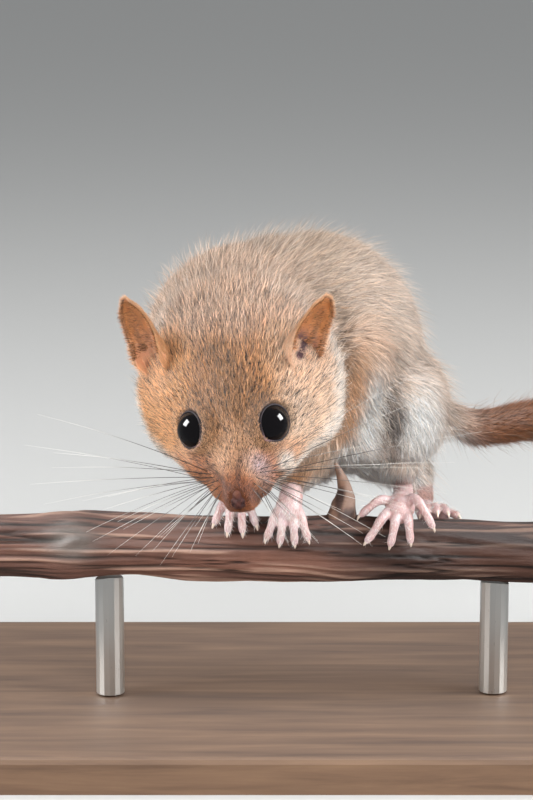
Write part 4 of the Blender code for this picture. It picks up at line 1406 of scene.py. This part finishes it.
def steel_material():
    made = plain_material("brushed_steel", (0.62, 0.61, 0.58), 0.3, Metallic=1.0)
    noise = grain(made, (1.0, 1.0, 0.03), Scale=9000.0, Detail=3.0)
    wire(made, between(made, noise, 0.22, 0.42), shader_of(made).inputs["Roughness"])
    return made


def dress_node(frame, name, look):
    """Gives one of the solids' own nodes a material."""
    mesh = frame["nodes"][name].data
    mesh.materials.clear()
    mesh.materials.append(look)


def build_stage():
    """Plain pale floor, soft lights and a pale sky."""
    corners = np.array([(-1, -1, 0), (1, -1, 0), (1, 1, 0), (-1, 1, 0)]) * FLOOR_SIZE
    floor = mesh_object("floor", corners, np.array([[0, 1, 2, 3]]))
    floor.data.materials.append(plain_material("floor_pale", (0.52, 0.52, 0.51), 0.9, Specular_IOR_Level=0.1))
    floor.visible_glossy = False
    world = bpy.data.worlds.new("world")
    bpy.context.scene.world = world
    world.use_nodes = True
    sky = world.node_tree.nodes["Background"]
    sky.inputs["Color"].default_value = SKY
    sky.inputs["Strength"].default_value = SKY_STRENGTH
    bpy.context.scene.view_settings.view_transform = "Standard"
    for name, place, size, power, lights, glints in LAMPS:
        light = bpy.data.lights.new(name, "AREA")
        light.size = size
        light.energy = power
        lamp = bpy.data.objects.new(name, light)
        lamp.location = place
        lamp.visible_diffuse = lights
        lamp.visible_glossy = glints
        aim = Vector(LAMP_TARGET) - Vector(place)
        lamp.rotation_euler = aim.to_track_quat("-Z", "Y").to_euler()
        bpy.context.scene.collection.objects.link(lamp)


def build_camera():
    """The camera at the photo's angle."""
    away = Vector((0, math.cos(CAMERA_RISE), -math.sin(CAMERA_RISE)))
    data = bpy.data.cameras.new("camera")
    data.lens = CAMERA_LENS
    data.clip_start = 0.01
    camera = bpy.data.objects.new("camera", data)
    camera.location = Vector(CAMERA_TARGET) - away * CAMERA_DISTANCE
    camera.rotation_euler = (math.radians(90) - CAMERA_RISE, 0, 0)
    bpy.context.scene.collection.objects.link(camera)
    bpy.context.scene.camera = camera


def build():
    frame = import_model()
    build_camera()
    build_stage()
    skin_look = painted_material("skin", 0.7, 2500.0, 0.15, 0.3, Specular_IOR_Level=0.15)
    fur_look = painted_material("fur", 0.62, 900.0, 0.12, 0.0, Sheen_Weight=0.06, Specular_IOR_Level=0.3)
    bare_look = painted_material("bare_skin", 0.45, 2600.0, 0.14, 0.5, Subsurface_Weight=0.12)
    ear_look = painted_material("ear_skin", 0.5, 1800.0, 0.16, 0.3, Subsurface_Weight=0.2)
    for look in (bare_look, ear_look):
        shader_of(look).inputs["Subsurface Scale"].default_value = 0.0006
    claw_look = plain_material("claw", (0.72, 0.58, 0.48), 0.25)
    whisker_look = painted_material("whisker", 0.35, 900.0, 0.05, 0.0)
    skin = build_skin(frame)
    ground = Ground(skin, unwrapped(skin))
    paint(skin, coat_colour(Lie(ground.points, ground.normals)) * 0.4)
    dressed(skin, skin_look, "fur", *FLESH)
    build_coat(ground, fur_look)
    build_guard_hair(ground, fur_look)
    build_eyes()
    build_ears(ground, ear_look, fur_look)
    build_paws(bare_look, claw_look, fur_look)
    build_nose(painted_material("nose", 0.6, 5000.0, 0.3, 0.6, Specular_IOR_Level=0.1))
    build_whiskers(ground.points, whisker_look)
    build_branch(bark_material(), wood_material("cut_wood", *CUT_WOOD, 900.0, 0.7))
    dress_node(frame, "stand_base", wood_material("stand_oak", *OAK, 420.0, 0.62))
    steel = steel_material()
    for name in ("stand_rod_1", "stand_rod_2"):
        dress_node(frame, name, steel)


build()
